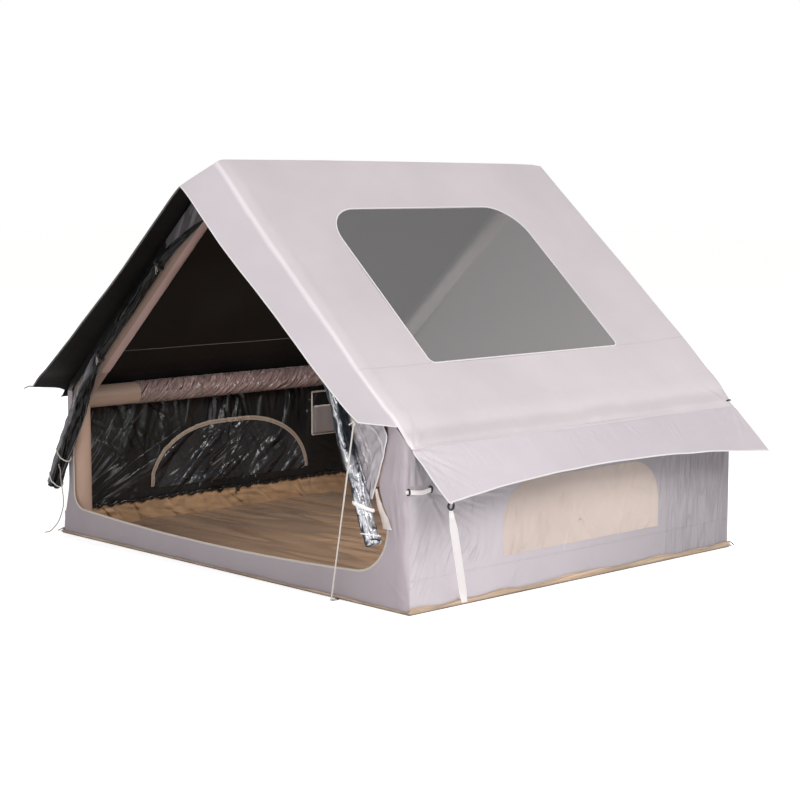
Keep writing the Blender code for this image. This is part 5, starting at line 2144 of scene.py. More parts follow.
@dataclass
class FrontFace:
    """The front wall round the door opening: sill, jambs, trims and gable top in one cloth."""

    finishes: Finishes
    half: Pair = (1.385, 1.345)
    bends: Pair = (0.10, 0.25)
    sill: float = 0.165
    dip: float = 0.035
    band: float = 0.054
    top_half: float = 0.44
    crown: float = 1.96

    def under_roof(self, x: float) -> float:
        """The wall's top under the roof cloth."""
        drop = float(front_drop(np.array(abs(x) / COS), np.array(-HALF_LENGTH)))
        return RIDGE - TAN * abs(x) - 0.0045 - drop

    def opening(self) -> Array:
        """The door opening's outline, closed, from the sill's left end round to it again.

        Returns:
            The outline's points.
        """
        left, right = self.half
        left_bend, right_bend = self.bends
        sill_left, sill_right = -left + left_bend, right - right_bend
        middle, reach = (sill_left + sill_right) / 2, (sill_right - sill_left) / 2
        points = []
        for share in np.linspace(-1.0, 1.0, 60):
            points.append((middle + reach * share, self.sill - self.dip * (1 - share**2)))
        for angle in np.radians(np.linspace(-90.0, 0.0, 14)):
            points.append(
                (
                    sill_right + right_bend * math.cos(angle),
                    self.sill + right_bend + right_bend * math.sin(angle)
                )
            )
        points.extend(
            ((right, 0.46), (1.312, 0.52), (1.284, 0.60), (1.287, 0.655), (1.32, 0.75), (right, 0.86))
        )
        points.append((right, self.under_roof(right) - self.band))
        points.append((self.top_half, self.under_roof(self.top_half) - self.band))
        points.append((self.top_half, self.under_roof(self.top_half) - 0.06))
        points.append((0.0, self.crown))
        points.append((-self.top_half, self.under_roof(self.top_half) - 0.06))
        points.append((-self.top_half, self.under_roof(self.top_half) - self.band))
        points.append((-left, self.under_roof(left) - self.band))
        for angle in np.radians(np.linspace(180.0, 270.0, 12)):
            points.append(
                (sill_left + left_bend * math.cos(angle), self.sill + left_bend + left_bend * math.sin(angle))
            )
        points.append(points[0])
        return np.array(points)

    def build(self) -> None:
        """Builds the cloth and its binding."""
        folds = Folds()
        folds.scatter((1.36, 0.25, 1.47, 0.75), 92.0, 7.0, (0.12, 0.34), 9, 0.012, 0.003, 91)
        folds.scatter((-1.48, 0.2, -1.4, 0.7), 88.0, 6.0, (0.12, 0.3), 6, 0.010, 0.002, 92)
        folds.scatter((-1.2, 0.02, 1.2, 0.14), 4.0, 6.0, (0.15, 0.5), 18, 0.010, 0.0014, 93)
        folds.fan((1.5, 0.02), (95.0, 178.0), (0.08, 0.3), 9, 0.009, 0.003, 94)

        def surface(x: Array, z: Array) -> Array:
            """A point of the outer face.

            Args:
                x: Place across the tent.
                z: Height over the ground.

            Returns:
                The points.
            """
            radius = corner_radius(z, x < 0)
            lean, back = round_corner(x, HALF_WIDTH, radius)
            edge = smoothstep(0.0, 0.03, HALF_WIDTH - np.abs(x)) * smoothstep(0.006, 0.03, z)
            bow = (folds.lift(x, z) + swell(x, z, 95, 0.25, 0.0012)) * edge
            return np.stack((lean, -HALF_LENGTH + back - bow, z), axis=1)

        top = self.under_roof(HALF_WIDTH)
        corners = [
            (-HALF_WIDTH, WALL_FOOT), (HALF_WIDTH, WALL_FOOT), (HALF_WIDTH, top), (0.0, self.under_roof(0.0)),
            (-HALF_WIDTH, top), (-HALF_WIDTH, WALL_FOOT)
        ]
        outer = subdivide(corners, 0.012)
        cloth = ring_sheet("front_face_cloth", outer, self.opening(), (0.0, 0.9), 22, surface, TO_FRONT)
        dress(cloth, self.finishes.front, self.finishes.black, self.finishes.gable)
        thicken(cloth, CLOTH, 1)
        # Painted shade: the outer faces at the top ends, under the wings, take the black coating, and the
        # rest of the gable top takes the darker gable cloth
        for face in cloth.data.polygons:
            if self.top_half < abs(face.center.x) and face.center.z > (0.86 if face.center.x < 0 else 1.05):
                face.material_index = 1
            elif face.center.z > 1.0 and face.material_index == 0:
                face.material_index = 2
        nodes = (
            "front_sill", "front_left_jamb", "front_right_jamb", "left_gable_trim", "right_gable_trim",
            "gable_top_panel"
        )
        ride(cloth, "tent", "front_sill", *nodes)
        outline = subdivide(self.opening(), 0.02)
        keep = outline[(outline[:, 1] < 0.62)]
        keep = keep[(keep[:, 1] < 0.45) | (keep[:, 0] < 0)]
        order = np.argsort(np.arctan2(keep[:, 1] - 0.9, keep[:, 0]))
        line = surface(keep[order][:, 0], keep[order][:, 1]) + np.array((0.0, CLOTH / 2, 0.0))
        binding = Sweep("sill_binding", line, 0.0062, 220, 10, TO_FRONT, 0.5, curved=False)
        trim(binding.build(), self.finishes.binding, "front_sill")


def arch_line(y: float, knee: float, peak: float) -> Array:
    """The centre line of an arch from its left foot over the top to its right foot.

    Args:
        y: The arch's place along the tent.
        knee: Bend radius at the eaves.
        peak: Bend radius at the top.

    Returns:
        Points along the line.
    """
    half, under_roof = 1.41, 0.068
    top = RIDGE - under_roof / COS
    shoulder = top - half * TAN
    corners = [(-half, WALL_FOOT), (-half, shoulder), (0.0, top), (half, shoulder), (half, WALL_FOOT)]
    radii = (0.0, knee, peak, knee, 0.0)
    points = [np.array(corners[0])]
    for index in range(1, 4):
        corner = np.array(corners[index])
        back = np.array(corners[index - 1]) - corner
        ahead = np.array(corners[index + 1]) - corner
        back, ahead = back / np.linalg.norm(back), ahead / np.linalg.norm(ahead)
        bend = math.acos(float(np.clip(back @ ahead, -1, 1))) / 2
        cut = radii[index] / math.tan(bend)
        start, finish = corner + back * cut, corner + ahead * cut
        bisector = (back + ahead) / np.linalg.norm(back + ahead)
        centre = corner + bisector * radii[index] / math.sin(bend)
        first = math.atan2(*(start - centre)[::-1])
        last = math.atan2(*(finish - centre)[::-1])
        if last - first > math.pi:
            last -= math.tau
        if first - last > math.pi:
            last += math.tau
        for angle in np.linspace(first, last, 14):
            points.append(centre + radii[index] * np.array((math.cos(angle), math.sin(angle))))
    points.append(np.array(corners[-1]))
    line = subdivide(points, 0.03)
    return np.stack((line[:, 0], np.full(len(line), y), line[:, 1]), axis=1)


def ruche(length: float, radius: float, seed: int, spacing: float, height: float) -> Place:
    """The shape of a sleeve that is gathered slantwise along a tube.

    Args:
        length: The sleeve's length.
        radius: The tube's radius.
        seed: Picks the pattern.
        spacing: Typical distance between gathers.
        height: Height of a gather as a share of the radius.

    Returns:
        A rule from share and angle to a share of the radius.
    """
    rng = np.random.default_rng(seed)
    waves = []
    for _ in range(9):
        pitch = spacing * rng.uniform(0.6, 2.2)
        slant = round(math.tau * radius / pitch * rng.uniform(0.35, 0.9))
        waves.append((pitch, slant, rng.uniform(0, math.tau), rng.integers(1, 4)))

    def shape(t: Array, angle: Array) -> Array:
        """The radius's share at a place on the sleeve.

        Args:
            t: Share along the line.
            angle: Place round it.

        Returns:
            The shares.
        """
        along = t * length
        total = np.zeros_like(along)
        for pitch, slant, phase, turns in waves:
            drift = 0.9 * np.sin(along * 11.0 + phase) + 0.8 * np.sin(angle * turns + phase * 2 + along * 3.0)
            patch = 0.55 + 0.45 * np.sin(along * 17.0 * pitch / spacing + angle + phase)
            total += np.maximum(0.0, np.sin(math.tau * along / pitch + angle * slant + drift)) ** 2 * patch
        return 1.0 + height * (total / 2.6 - 0.5)

    return shape


@dataclass
class AirFrame:
    """The inflated tubes: two arches, two eave beams, a ridge beam and their gathered sleeves."""

    finishes: Finishes
    arch_y: float = 1.1957
    knee: float = 0.2
    peak: float = 0.11
    tube: float = 0.06
    eave: float = 0.065
    beam_sleeve: float = 0.812
    lit_way: Pair = (0.857, 0.515)
    lit_edge: float = -0.535

    def arch(self, word: str, y: float) -> None:
        """Builds one arch tube.

        Args:
            word: front or rear.
            y: Place along the tent.
        """
        line = arch_line(y, self.knee, self.peak)
        seam = lambda t, angle: 1.0 + 0.012 * np.sin(t * 160.0) * np.exp(
            -((np.sin(angle / 2 + 0.4) / 0.2) ** 2)
        )
        piece = Sweep(word + "_air_arch", line, self.tube, 300, 40, TO_REAR, 1.0, seam, curved=False, cap=0.3)
        hang(piece.build(), self.finishes.tube, word + "_arch_tube")

    def sleeve(self, side: Side, word: str, y: float, node: str | None) -> None:
        """Builds the gathered sleeve on one rafter.

        Args:
            side: Which side of the tent.
            word: front or rear.
            y: Place along the tent.
            node: The CAD node that it stands for, if it has one.
        """
        line = arch_line(y, self.knee, self.peak)
        run = line[
            (np.abs(line[:, 0]) > 0.09) & (np.abs(line[:, 0]) < 1.19) & (np.sign(line[:, 0]) == side.value)
        ]
        ends = run[np.argsort(np.abs(run[:, 0]))]
        length = float(np.linalg.norm(ends[0] - ends[-1]))
        gathers = ruche(length, self.tube, 31 + side.value, 0.12, 0.018)
        points = np.array([ends[0] + (ends[-1] - ends[0]) * t for t in np.linspace(0, 1, 12)])
        radius = self.tube + 0.0035
        name = f"{word}_{side.word}_rafter_cloth"
        columns, sides = (320, 64) if word == "front" else (160, 40)
        piece = Sweep(
            name, points, radius, columns, sides, TO_REAR, 1.0, gathers, curved=False, cap=0.15
        ).build()
        if word == "front":
            self.halve(piece, ends[0], side)
        else:
            dress(piece, self.finishes.far_tube)
        ride(piece, "tent", node or word + "_arch_tube", *((node,) if node else ()))

    def halve(self, piece: Object, top: Array, side: Side) -> None:
        """Gives a rafter's sleeve its tan outer half and mauve inner half.

        Args:
            piece: The sleeve.
            top: The upper end of its middle line.
            side: Which side of the tent.
        """
        dress(piece, self.finishes.rafter, self.finishes.tube)
        normal = np.array((side.value * SIN, 0.0, COS))
        up, ahead = self.lit_way
        for face in piece.data.polygons:
            centre = np.array(face.center)
            over = (centre - top) @ normal
            front = math.copysign(self.arch_y, centre[1]) - centre[1]
            lit = up * over + ahead * front > self.lit_edge * math.hypot(over, front)
            face.material_index = 1 if lit else 0

    def beam_with_sleeve(
        self, name: str, node: str, sleeve_node: str | None, x: float, z: float, radius: float, gather: float
    ) -> None:
        """Builds a beam along the tent and the sleeve over its middle.

        Args:
            name: The beam's name.
            node: The CAD node that it stands for.
            sleeve_node: The CAD node that the sleeve stands for, if it has one.
            x: The beam's place across the tent.
            z: Its height.
            radius: Its own radius.
            gather: Height of the sleeve's gathers as a share of the radius.
        """
        ends = np.array([(x, y, z) for y in np.linspace(-self.arch_y, self.arch_y, 30)])
        tube = Sweep(name, ends, radius, 120, 40, UP, 1.0, curved=False, cap=0.3)
        hang(tube.build(), self.finishes.tube, node)
        reach = self.beam_sleeve
        run = np.array([(x, y, z) for y in np.linspace(-reach, reach, 30)])
        gathers = ruche(2 * reach, radius, 37, 0.05, gather)
        columns = 520 if sleeve_node else 300
        sleeve = Sweep(
            name + "_cloth", run, radius + 0.0045, columns, 64, UP, 1.0, gathers, curved=False, cap=0.12
        )
        hang(sleeve.build(), self.finishes.sleeve, sleeve_node or node, replaces=bool(sleeve_node))

    def build(self) -> None:
        """Builds the whole frame."""
        self.arch("front", -self.arch_y)
        self.arch("rear", self.arch_y)
        for side in Side:
            self.sleeve(side, "front", -self.arch_y, f"front_{side.word}_rafter_sleeve")
            self.sleeve(side, "rear", self.arch_y, None)
        low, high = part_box("left_eave_beam")
        x, z = (low.x + high.x) / 2, (low.z + high.z) / 2
        self.beam_with_sleeve("left_air_beam", "left_eave_beam", "left_eave_sleeve", x, z, self.eave, 0.04)
        self.beam_with_sleeve(
            "right_air_beam", "right_eave_beam", "right_eave_sleeve", -x, z, self.eave, 0.04
        )
        low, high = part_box("ridge_beam")
        self.beam_with_sleeve(
            "ridge_air_beam", "ridge_beam", None, 0.0, (low.z + high.z) / 2, self.tube, 0.02
        )


@dataclass
class FloorTray:
    """The tray floor: wrinkled ground cloth, upstand and the tan hem outside."""

    finishes: Finishes
    upstand: float = 0.135
    door_upstand: float = 0.1

    def build(self) -> None:
        """Builds the three cloths of the tray."""
        folds = Folds()
        folds.scatter((-1.3, -1.2, 1.4, 1.1), 2.0, 9.0, (0.4, 1.5), 46, 0.028, 0.012, 101)
        folds.scatter((-1.45, -1.2, -0.9, 1.2), 70.0, 30.0, (0.1, 0.35), 40, 0.012, 0.006, 102)
        folds.scatter((-1.4, -1.24, 1.4, 1.2), 30.0, 60.0, (0.06, 0.25), 80, 0.010, 0.004, 103)
        inside_x, inside_y = 1.491, 1.256

        def ground(x: Array, y: Array) -> Array:
            """A point of the wrinkled cloth."""
            lift = np.clip(0.0058 + folds.lift(x, y) + swell(x, y, 104, 0.4, 0.0016), 0.0045, 0.024)
            return np.stack((x, y, lift), axis=1)

        def place(u: Array, v: Array) -> Array:
            """Turns shares into points."""
            return ground(-inside_x + 2 * inside_x * u, -inside_y + 2 * inside_y * v)

        cloth = mapped_grid("ground_cloth", 250, 190, place, outward=UP)
        hang(cloth, self.finishes.floor, "bathtub_floor", wall=0.002)
        self.ring(
            "tray_upstand", inside_x + 0.0035, inside_y + 0.0035, 0.003, None, self.finishes.tray, 105,
            inner=True
        )
        self.ring("tray_hem", 1.5065, 1.2715, 0.0012, 0.026, self.finishes.hem, 106, inner=False)
        self.ruffle()

    def ruffle(self) -> None:
        """The walls' black foot, which hangs ruffled over the upstand, and the toggle on it."""
        half_x, half_y, high = 1.482, 1.247, self.upstand + 0.004
        turns = [(half_x, -half_y + 0.06), (half_x, half_y), (-half_x, half_y), (-half_x, -half_y + 0.06)]
        line = subdivide(turns, 0.008)
        along = lengths_along(line)
        rise = swell(along, along * 0.2, 107, 0.05, 0.006) + swell(along, along * 0.3, 108, 0.02, 0.0025)
        points = np.stack((line[:, 0], line[:, 1], high + rise), axis=1)
        rough = lambda t, angle: 1.0 + swell(t * along[-1], np.sin(angle) * 0.02, 109, 0.045, 0.4)
        edge = Sweep("wall_foot_ruffle", points, 0.0052, 1400, 8, UP, 1.7, rough, curved=False)
        trim(edge.build(), self.finishes.black, "bathtub_floor")
        drop = [
            (-half_x + 0.008, 0.035, high + 0.004), (-half_x + 0.014, 0.04, high - 0.012),
            (-half_x + 0.012, 0.036, high - 0.034)
        ]
        shape = lambda t, angle: 0.5 + 0.9 * smoothstep(0.3, 0.5, t)
        toggle = Sweep("floor_toggle", np.array(drop), 0.0075, 30, 12, TO_REAR, 1.0, shape)
        trim(toggle.build(), self.finishes.plastic, "bathtub_floor")

    def ring(
        self,
        name: str,
        half_x: float,
        half_y: float,
        low: float,
        high: float | None,
        finish: Material,
        seed: int,
        inner: bool,
    ) -> None:
        """A wrinkled band that stands round the floor.

        Args:
            name: The piece's name.
            half_x: Half its width.
            half_y: Half its depth.
            low: Its foot's height.
            high: Its top's height, or None for the upstand's.
            finish: Its material.
            seed: Picks its wrinkles.
            inner: Whether it stands inside the walls and faces in.
        """
        loop = rectangle(-half_x, -half_y, half_x, half_y, 0.014)
        along = lengths_along(loop)
        normal = np.stack(
            (
                np.where(np.abs(loop[:, 0]) > half_x - 1e-6, np.sign(loop[:, 0]), 0.0),
                np.where(np.abs(loop[:, 1]) > half_y - 1e-6, np.sign(loop[:, 1]), 0.0)
            ),
            axis=1
        )

        def place(u: Array, v: Array) -> Array:
            """Stands the band up, with its puffs.

            Args:
                u: Share round the floor.
                v: Share of the height.

            Returns:
                The points.
            """
            index = nearest(u, len(loop) - 1)
            x, y = loop[index, 0], loop[index, 1]
            arc = along[index] % along[-1]
            closes = np.minimum(arc, along[-1] - arc)
            still = smoothstep(0.0, 0.1, closes)
            if high is None:
                door = (y < -half_y + 1e-6) & (np.abs(x) < 1.09)
                top = np.where(door, self.door_upstand, self.upstand)
            else:
                side = np.abs(x) > half_x - 1e-6
                top = high * np.where(side, 1.25, 0.62) + swell(
                    arc, arc * 0.3, seed, 0.45, 0.005
                ) * still * np.where(side, 1.0, 0.3)
            z = low + (top - low) * v
            puff = np.abs(swell(arc, z * 3.0, seed, 0.16, 0.005)) * still * np.sin(math.pi * v)
            if inner:
                puff = -puff
            else:
                puff = puff * 0.8 + 0.002 * np.sin(math.pi * v)
            return np.stack((x + normal[index, 0] * puff, y + normal[index, 1] * puff, z), axis=1)

        def flat(u: Array, v: Array) -> Array:
            """Turns the same shares into flat coordinates."""
            index = nearest(u, len(loop) - 1)
            return np.stack((along[index], v * 0.12), axis=1)

        piece = mapped_grid(name, len(loop) - 1, 12, place, flat)
        face = piece.data.polygons[len(piece.data.polygons) // 3]
        faces_out = face.normal.xy.dot(face.center.xy) > 0
        if faces_out == inner:
            edit_all(piece, bpy.ops.mesh.flip_normals)
        edit_all(piece, merge_borders)
        trim(piece, finish, "bathtub_floor", wall=STRAP)


LEFT_ROLL = np.array(
    [
        (-0.06, -1.296, 1.892, 0.004),
        (-0.12, -1.300, 1.857, 0.013),
        (-0.24, -1.305, 1.790, 0.020),
        (-0.381, -1.315, 1.691, 0.026),
        (-0.52, -1.315, 1.570, 0.031),
        (-0.677, -1.315, 1.425, 0.033),
        (-0.82, -1.315, 1.297, 0.032),
        (-0.966, -1.315, 1.155, 0.027),
        (-1.07, -1.318, 1.050, 0.034),
        (-1.16, -1.318, 0.921, 0.044),
        (-1.246, -1.320, 0.765, 0.052),
        (-1.308, -1.320, 0.655, 0.052),
        (-1.365, -1.319, 0.559, 0.050),
        (-1.428, -1.318, 0.453, 0.047),
        (-1.490, -1.3135, 0.350, 0.048),
        (-1.525, -1.314, 0.290, 0.050),
    ]
)
RIGHT_ROLL = np.array(
    [
        (0.10, -1.300, 1.868, 0.014),
        (0.24, -1.305, 1.790, 0.020),
        (0.381, -1.315, 1.691, 0.026),
        (0.52, -1.315, 1.570, 0.031),
        (0.66, -1.315, 1.440, 0.034),
        (0.79, -1.315, 1.320, 0.035),
        (0.90, -1.318, 1.215, 0.037),
        (0.982, -1.320, 1.115, 0.039),
        (1.040, -1.319, 1.000, 0.041),
        (1.094, -1.318, 0.828, 0.043),
        (1.164, -1.317, 0.666, 0.043),
        (1.240, -1.317, 0.468, 0.043),
        (1.302, -1.317, 0.325, 0.042),
    ]
)


@dataclass
class RolledDoor:
    """The door's two halves, each rolled up and tied to its side, with the loose cloth on the right."""

    finishes: Finishes

    def bunch(self, seed: int, folds: int, depth: float, twist: float) -> Place:
        """The section of a loosely rolled cloth: deep folds that wander along it.

        Args:
            seed: Picks the pattern.
            folds: How many deep folds it has.
            depth: How deep they are, as a share of the radius.
            twist: How far they wind along it.

        Returns:
            A rule from share and angle to a share of the radius.
        """
        rng = np.random.default_rng(seed)
        phases = rng.uniform(0, math.tau, 6)

        def shape(t: Array, angle: Array) -> Array:
            """The radius's share at a place on the roll.

            Args:
                t: Share along the line.
                angle: Place round it.

            Returns:
                The shares.
            """
            turn = angle + twist * t + 0.35 * np.sin(t * 21.0 + phases[0])
            deep = np.abs(np.sin(turn * folds / 2 + phases[1] + 0.8 * np.sin(t * 9.0)))
            small = np.sin(turn * (folds + 4) + t * 60.0 + phases[2]) * np.sin(
                t * 90.0 + angle * 2 + phases[3]
            )
            crossing = np.sin(t * 150.0 + 3.0 * np.sin(angle + phases[4]) + phases[5])
            return 1.0 - depth + depth * 0.9 * deep + 0.035 * small + 0.02 * crossing

        return shape

    def roll(self, side: Side, points: Array, finish: Material, seed: int, depth: float) -> Sweep:
        """Builds one roll.

        Args:
            side: Which side of the tent.
            points: Its middle line, each point with its radius.
            finish: Its material.
            seed: Picks the pattern.
            depth: How deep its folds are.

        Returns:
            Its sweep.
        """
        name = side.word + "_door_roll"
        sweep = Sweep(
            name + "_cloth", points, 0.042, 380, 56, TO_REAR, 1.0, self.bunch(seed, 5, depth, 5.0), cap=0.25
        )
        hang(sweep.build(), finish, name)
        return sweep

    def strand(
        self, sweep: Sweep, name: str, start: float, stop: float, angle: float, turns: float, radius: float,
        finish: Material
    ) -> None:
        """Lays a piping along a roll's surface.

        Args:
            sweep: The roll.
            name: The piping's name.
            start: Share of the roll where it begins.
            stop: Share where it ends.
            angle: Its first place round the roll.
            turns: How far it winds round, in turns.
            radius: Its own radius.
            finish: Its material.
        """
        shares = np.linspace(start, stop, 90)
        centre = sweep.line(shares)
        side, up = crosswise(centre[:, :3], sweep.reference)
        where = angle + np.linspace(0.0, turns * math.tau, 90)
        reach = centre[:, 3] * sweep.shape(shares, where) + radius * 0.3
        line = centre[:, :3] + round_about(side, up, where, reach)
        piece = Sweep(name, line, radius, 170, 8, (0.2, 1.0, 0.1), 0.8, curved=False)
        trim(piece.build(), finish, "left_door_roll" if name.startswith("left") else "right_door_roll")

    def hoop(
        self, sweep: Sweep, name: str, share: float, slant: float, radius: float, finish: Material, slot: str,
        *nodes: str
    ) -> None:
        """Lays a tape or piping round a roll.

        Args:
            sweep: The roll.
            name: The piece's name.
            share: Where along it the hoop lies.
            slant: How far it leans along the roll.
            radius: Its own radius.
            finish: Its material.
            slot: The CAD node that it goes with.
            nodes: CAD nodes that it stands for.
        """
        where = np.linspace(0.0, math.tau, 73)
        shares = share + slant * np.cos(where - 0.6)
        centre = sweep.line(shares)
        near = sweep.line(np.array([share - 0.01, share + 0.01]))
        ahead = unit(near[1, :3] - near[0, :3])
        side = unit(np.cross(ahead, np.array(sweep.reference)))
        lobes = np.maximum(sweep.shape(shares, where), 0.93)
        reach = centre[:, 3] * lobes + radius * 0.35
        line = centre[:, :3] + round_about(side, np.cross(side, ahead), where, reach)
        line[-1] = line[0]
        squeeze = 0.6 if radius < 0.006 else 1.5
        piece = Sweep(name, line, radius, 140, 8, tuple(ahead), squeeze, curved=False, ring=True).build()
        dress(piece, finish)
        ride(piece, "tent", slot, *nodes)
        if name.endswith("er_tie_tape"):
            self.toggle(
                name.removesuffix("_tape"), line[np.argmax(line @ np.array((0.75, -0.65, 0.1)))], slot
            )

    def toggle(self, word: str, at: Array, slot: str) -> None:
        """A tie's toggle, with the two ends of its cord.

        Args:
            word: The tie's name.
            at: Where it is knotted.
            slot: The CAD node that it goes with.
        """
        bar = np.array([at + (-0.004, 0.0, -0.002), at + (0.012, -0.004, 0.002), at + (0.03, -0.006, 0.008)])
        peg = Sweep(word + "_toggle", bar, 0.0068, 20, 12, TO_REAR)
        trim(peg.build(), self.finishes.dark_tape, slot)
        for index, (lean, drop) in enumerate(((0.004, 0.05), (0.018, 0.036))):
            line = np.array([at, at + (0.6 * lean, -0.004, -0.4 * drop), at + (lean, -0.003, -drop)])
            end = Sweep(f"{word}_end_{index + 1}", line, 0.0024, 24, 8, TO_REAR)
            trim(end.build(), self.finishes.tie, slot)

    def flap(self) -> None:
        """The right half's loose cloth, pleated from its sewn top to its gathered foot."""
        rows = np.array(
            [
                (0.990, 1.290, 0.990), (1.010, 1.357, 0.870), (1.075, 1.325, 0.750), (1.130, 1.289, 0.656),
                (1.175, 1.246, 0.547)
            ]
        )
        folds = Folds()
        folds.scatter((1.02, 0.62, 1.3, 0.96), 62.0, 22.0, (0.1, 0.3), 26, 0.012, 0.006, 111)
        folds.fan((1.19, 0.5), (62.0, 112.0), (0.15, 0.45), 9, 0.010, 0.007, 112)

        def place(u: Array, v: Array) -> Array:
            """Hangs the cloth between its two edges.

            Args:
                u: Share of the width.
                v: Share of the way down.

            Returns:
                The points.
            """
            at = v * (len(rows) - 1)
            low = np.interp(at, np.arange(len(rows)), rows[:, 0])
            high = np.interp(at, np.arange(len(rows)), rows[:, 1])
            z = np.interp(at, np.arange(len(rows)), rows[:, 2])
            x = low + (high - low) * u
            seam = smoothstep(0.0, 0.12, v)
            depth = 0.0052 + 0.006 * seam + np.maximum(folds.lift(x, z) + 0.005, 0.0) * seam
            return np.stack((x, -HALF_LENGTH - depth, z), axis=1)

        piece = mapped_grid("right_door_flap_cloth", 46, 60, place, outward=TO_FRONT)
        hang(piece, self.finishes.loose, "right_door_flap", wall=LOOSE)
        fraction = np.linspace(0.12, 1.0, 30)
        line = place(np.full(30, 0.995), fraction) + np.array((0.0, 0.0006, 0.0))
        edge = Sweep("right_flap_binding", line, 0.0048, 70, 10, TO_FRONT, 0.6, curved=False)
        trim(edge.build(), self.finishes.piping, "right_door_flap")

    def guard(self) -> None:
        """The tan strip that covers the door's zip, with its pale hem."""
        centre = np.array([(1.262, 0.600), (1.290, 0.520), (1.325, 0.460), (1.348, 0.410)])

        def place(u: Array, v: Array) -> Array:
            """Bows the strip along its middle line.

            Args:
                u: Share of the width.
                v: Share of the length.

            Returns:
                The points.
            """
            line = on_curve(centre, v)
            depth = 0.0036 + 0.004 * np.sin(math.pi * u) + 0.003 * np.abs(np.sin(v * 9.0 + u * 3.0)) * u
            return np.stack(
                (line[:, 0] + (0.02 + 0.045 * v) * (u - 0.5), -HALF_LENGTH - depth, line[:, 1]), axis=1
            )

        piece = mapped_grid("zip_guard_cloth", 16, 40, place, outward=TO_FRONT)
        hang(piece, self.finishes.guard, "right_zip_guard", wall=LOOSE)
        line = place(np.linspace(0.0, 1.0, 20), np.full(20, 0.995))
        hem = Sweep("zip_guard_hem", line, 0.004, 40, 8, TO_FRONT, 0.6, curved=False)
        trim(hem.build(), self.finishes.piping, "right_zip_guard")

    def build(self) -> None:
        """Builds both halves of the door."""
        left = self.roll(Side.LEFT, LEFT_ROLL, self.finishes.roll, 121, 0.3)
        self.strand(left, "left_roll_piping_a", 0.05, 0.97, 0.6, 0.6, 0.0045, self.finishes.grey_piping)
        self.strand(left, "left_roll_piping_b", 0.12, 0.95, 2.4, -0.4, 0.0035, self.finishes.grey_piping)
        self.hoop(
            left, "left_upper_tie_tape", 0.205, 0.006, 0.007, self.finishes.dark_tape, "left_upper_tie",
            "left_upper_tie"
        )
        self.hoop(
            left, "left_lower_tie_tape", 0.565, 0.008, 0.007, self.finishes.dark_tape, "left_lower_tie",
            "left_lower_tie"
        )
        self.hoop(
            left, "left_end_tie_tape", 0.894, 0.010, 0.0055, self.finishes.binding, "left_end_tie",
            "left_end_tie"
        )
        self.hoop(left, "left_roll_hem", 0.9785, 0.012, 0.0042, self.finishes.piping, "left_door_roll")
        right = self.roll(Side.RIGHT, RIGHT_ROLL, self.finishes.foil, 122, 0.2)
        self.strand(right, "right_roll_edge", 0.25, 0.80, 2.5, 0.12, 0.016, self.finishes.roll)
        self.hoop(right, "right_roll_band", 0.90, 0.016, 0.0065, self.finishes.strap, "right_door_roll")
        self.hoop(right, "right_roll_hem", 0.972, 0.010, 0.0055, self.finishes.strap, "right_door_roll")
        self.flap()
        self.guard()


@dataclass
class Organiser:
    """The hanging organiser: a dark panel, a mesh pocket and tan bindings."""

    finishes: Finishes

    def build(self) -> None:
        """Builds the panel, its pocket and its bindings."""
        low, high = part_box("hanging_organiser")
        x, y0, y1, z0, z1 = low.x, low.y, high.y, low.z, high.z
        top = z0 + 0.19

        def panel(u: Array, v: Array) -> Array:
            """A point of the back panel.

            Args:
                u: Share along the sheet's first edge.
                v: Share along its second edge.

            Returns:
                The points.
            """
            y, z = y0 + (y1 - y0) * u, z0 + (z1 - z0) * v
            wave = 0.0015 * np.sin(u * 11.0) * np.sin(math.pi * v)
            return np.stack((np.full_like(u, x + 0.003) + wave, y, z), axis=1)

        back = mapped_grid("organiser_panel", 30, 30, panel, outward=TO_RIGHT)
        hang(back, self.finishes.black, "hanging_organiser", body="organiser_body", wall=0.0018)

        def pocket(u: Array, v: Array) -> Array:
            """A point of the bellied pocket.

            Args:
                u: Share along the sheet's first edge.
                v: Share along its second edge.

            Returns:
                The points.
            """
            y, z = y0 + (y1 - y0) * u, z0 + (top - z0) * v
            side = np.minimum(1.0, np.minimum(u, 1 - u) / 0.05) ** 0.5
            foot = np.minimum(1.0, v / 0.08) ** 0.5
            out = 0.0042 + 0.024 * side * foot + 0.003 * np.sin(u * 19.0) * v
            return np.stack((np.full_like(u, x) + out, y, z), axis=1)

        front = mapped_grid("organiser_pocket", 44, 30, pocket, outward=TO_RIGHT)
        trim(front, self.finishes.mesh_grey, "hanging_organiser", body="organiser_body", wall=LOOSE)
        edge = [
            (x + 0.004, y0, z1), (x + 0.004, y0, z0), (x + 0.004, y1, z0), (x + 0.004, y1, z1),
            (x + 0.004, y0, z1)
        ]
        loop = subdivide(edge, 0.02)
        binding = Sweep(
            "organiser_binding", loop, 0.0065, 150, 8, (1.0, 0.02, 0.03), 0.5, curved=False, ring=True
        )
        trim(binding.build(), self.finishes.binding, "hanging_organiser", body="organiser_body")
        rim_u = np.linspace(0.02, 0.98, 40)
        rim = Sweep(
            "organiser_pocket_rim", pocket(rim_u, np.ones(40)), 0.0055, 60, 8, (1.0, 0.0, 0.05), 0.5,
            curved=False
        )
        trim(rim.build(), self.finishes.binding, "hanging_organiser", body="organiser_body")


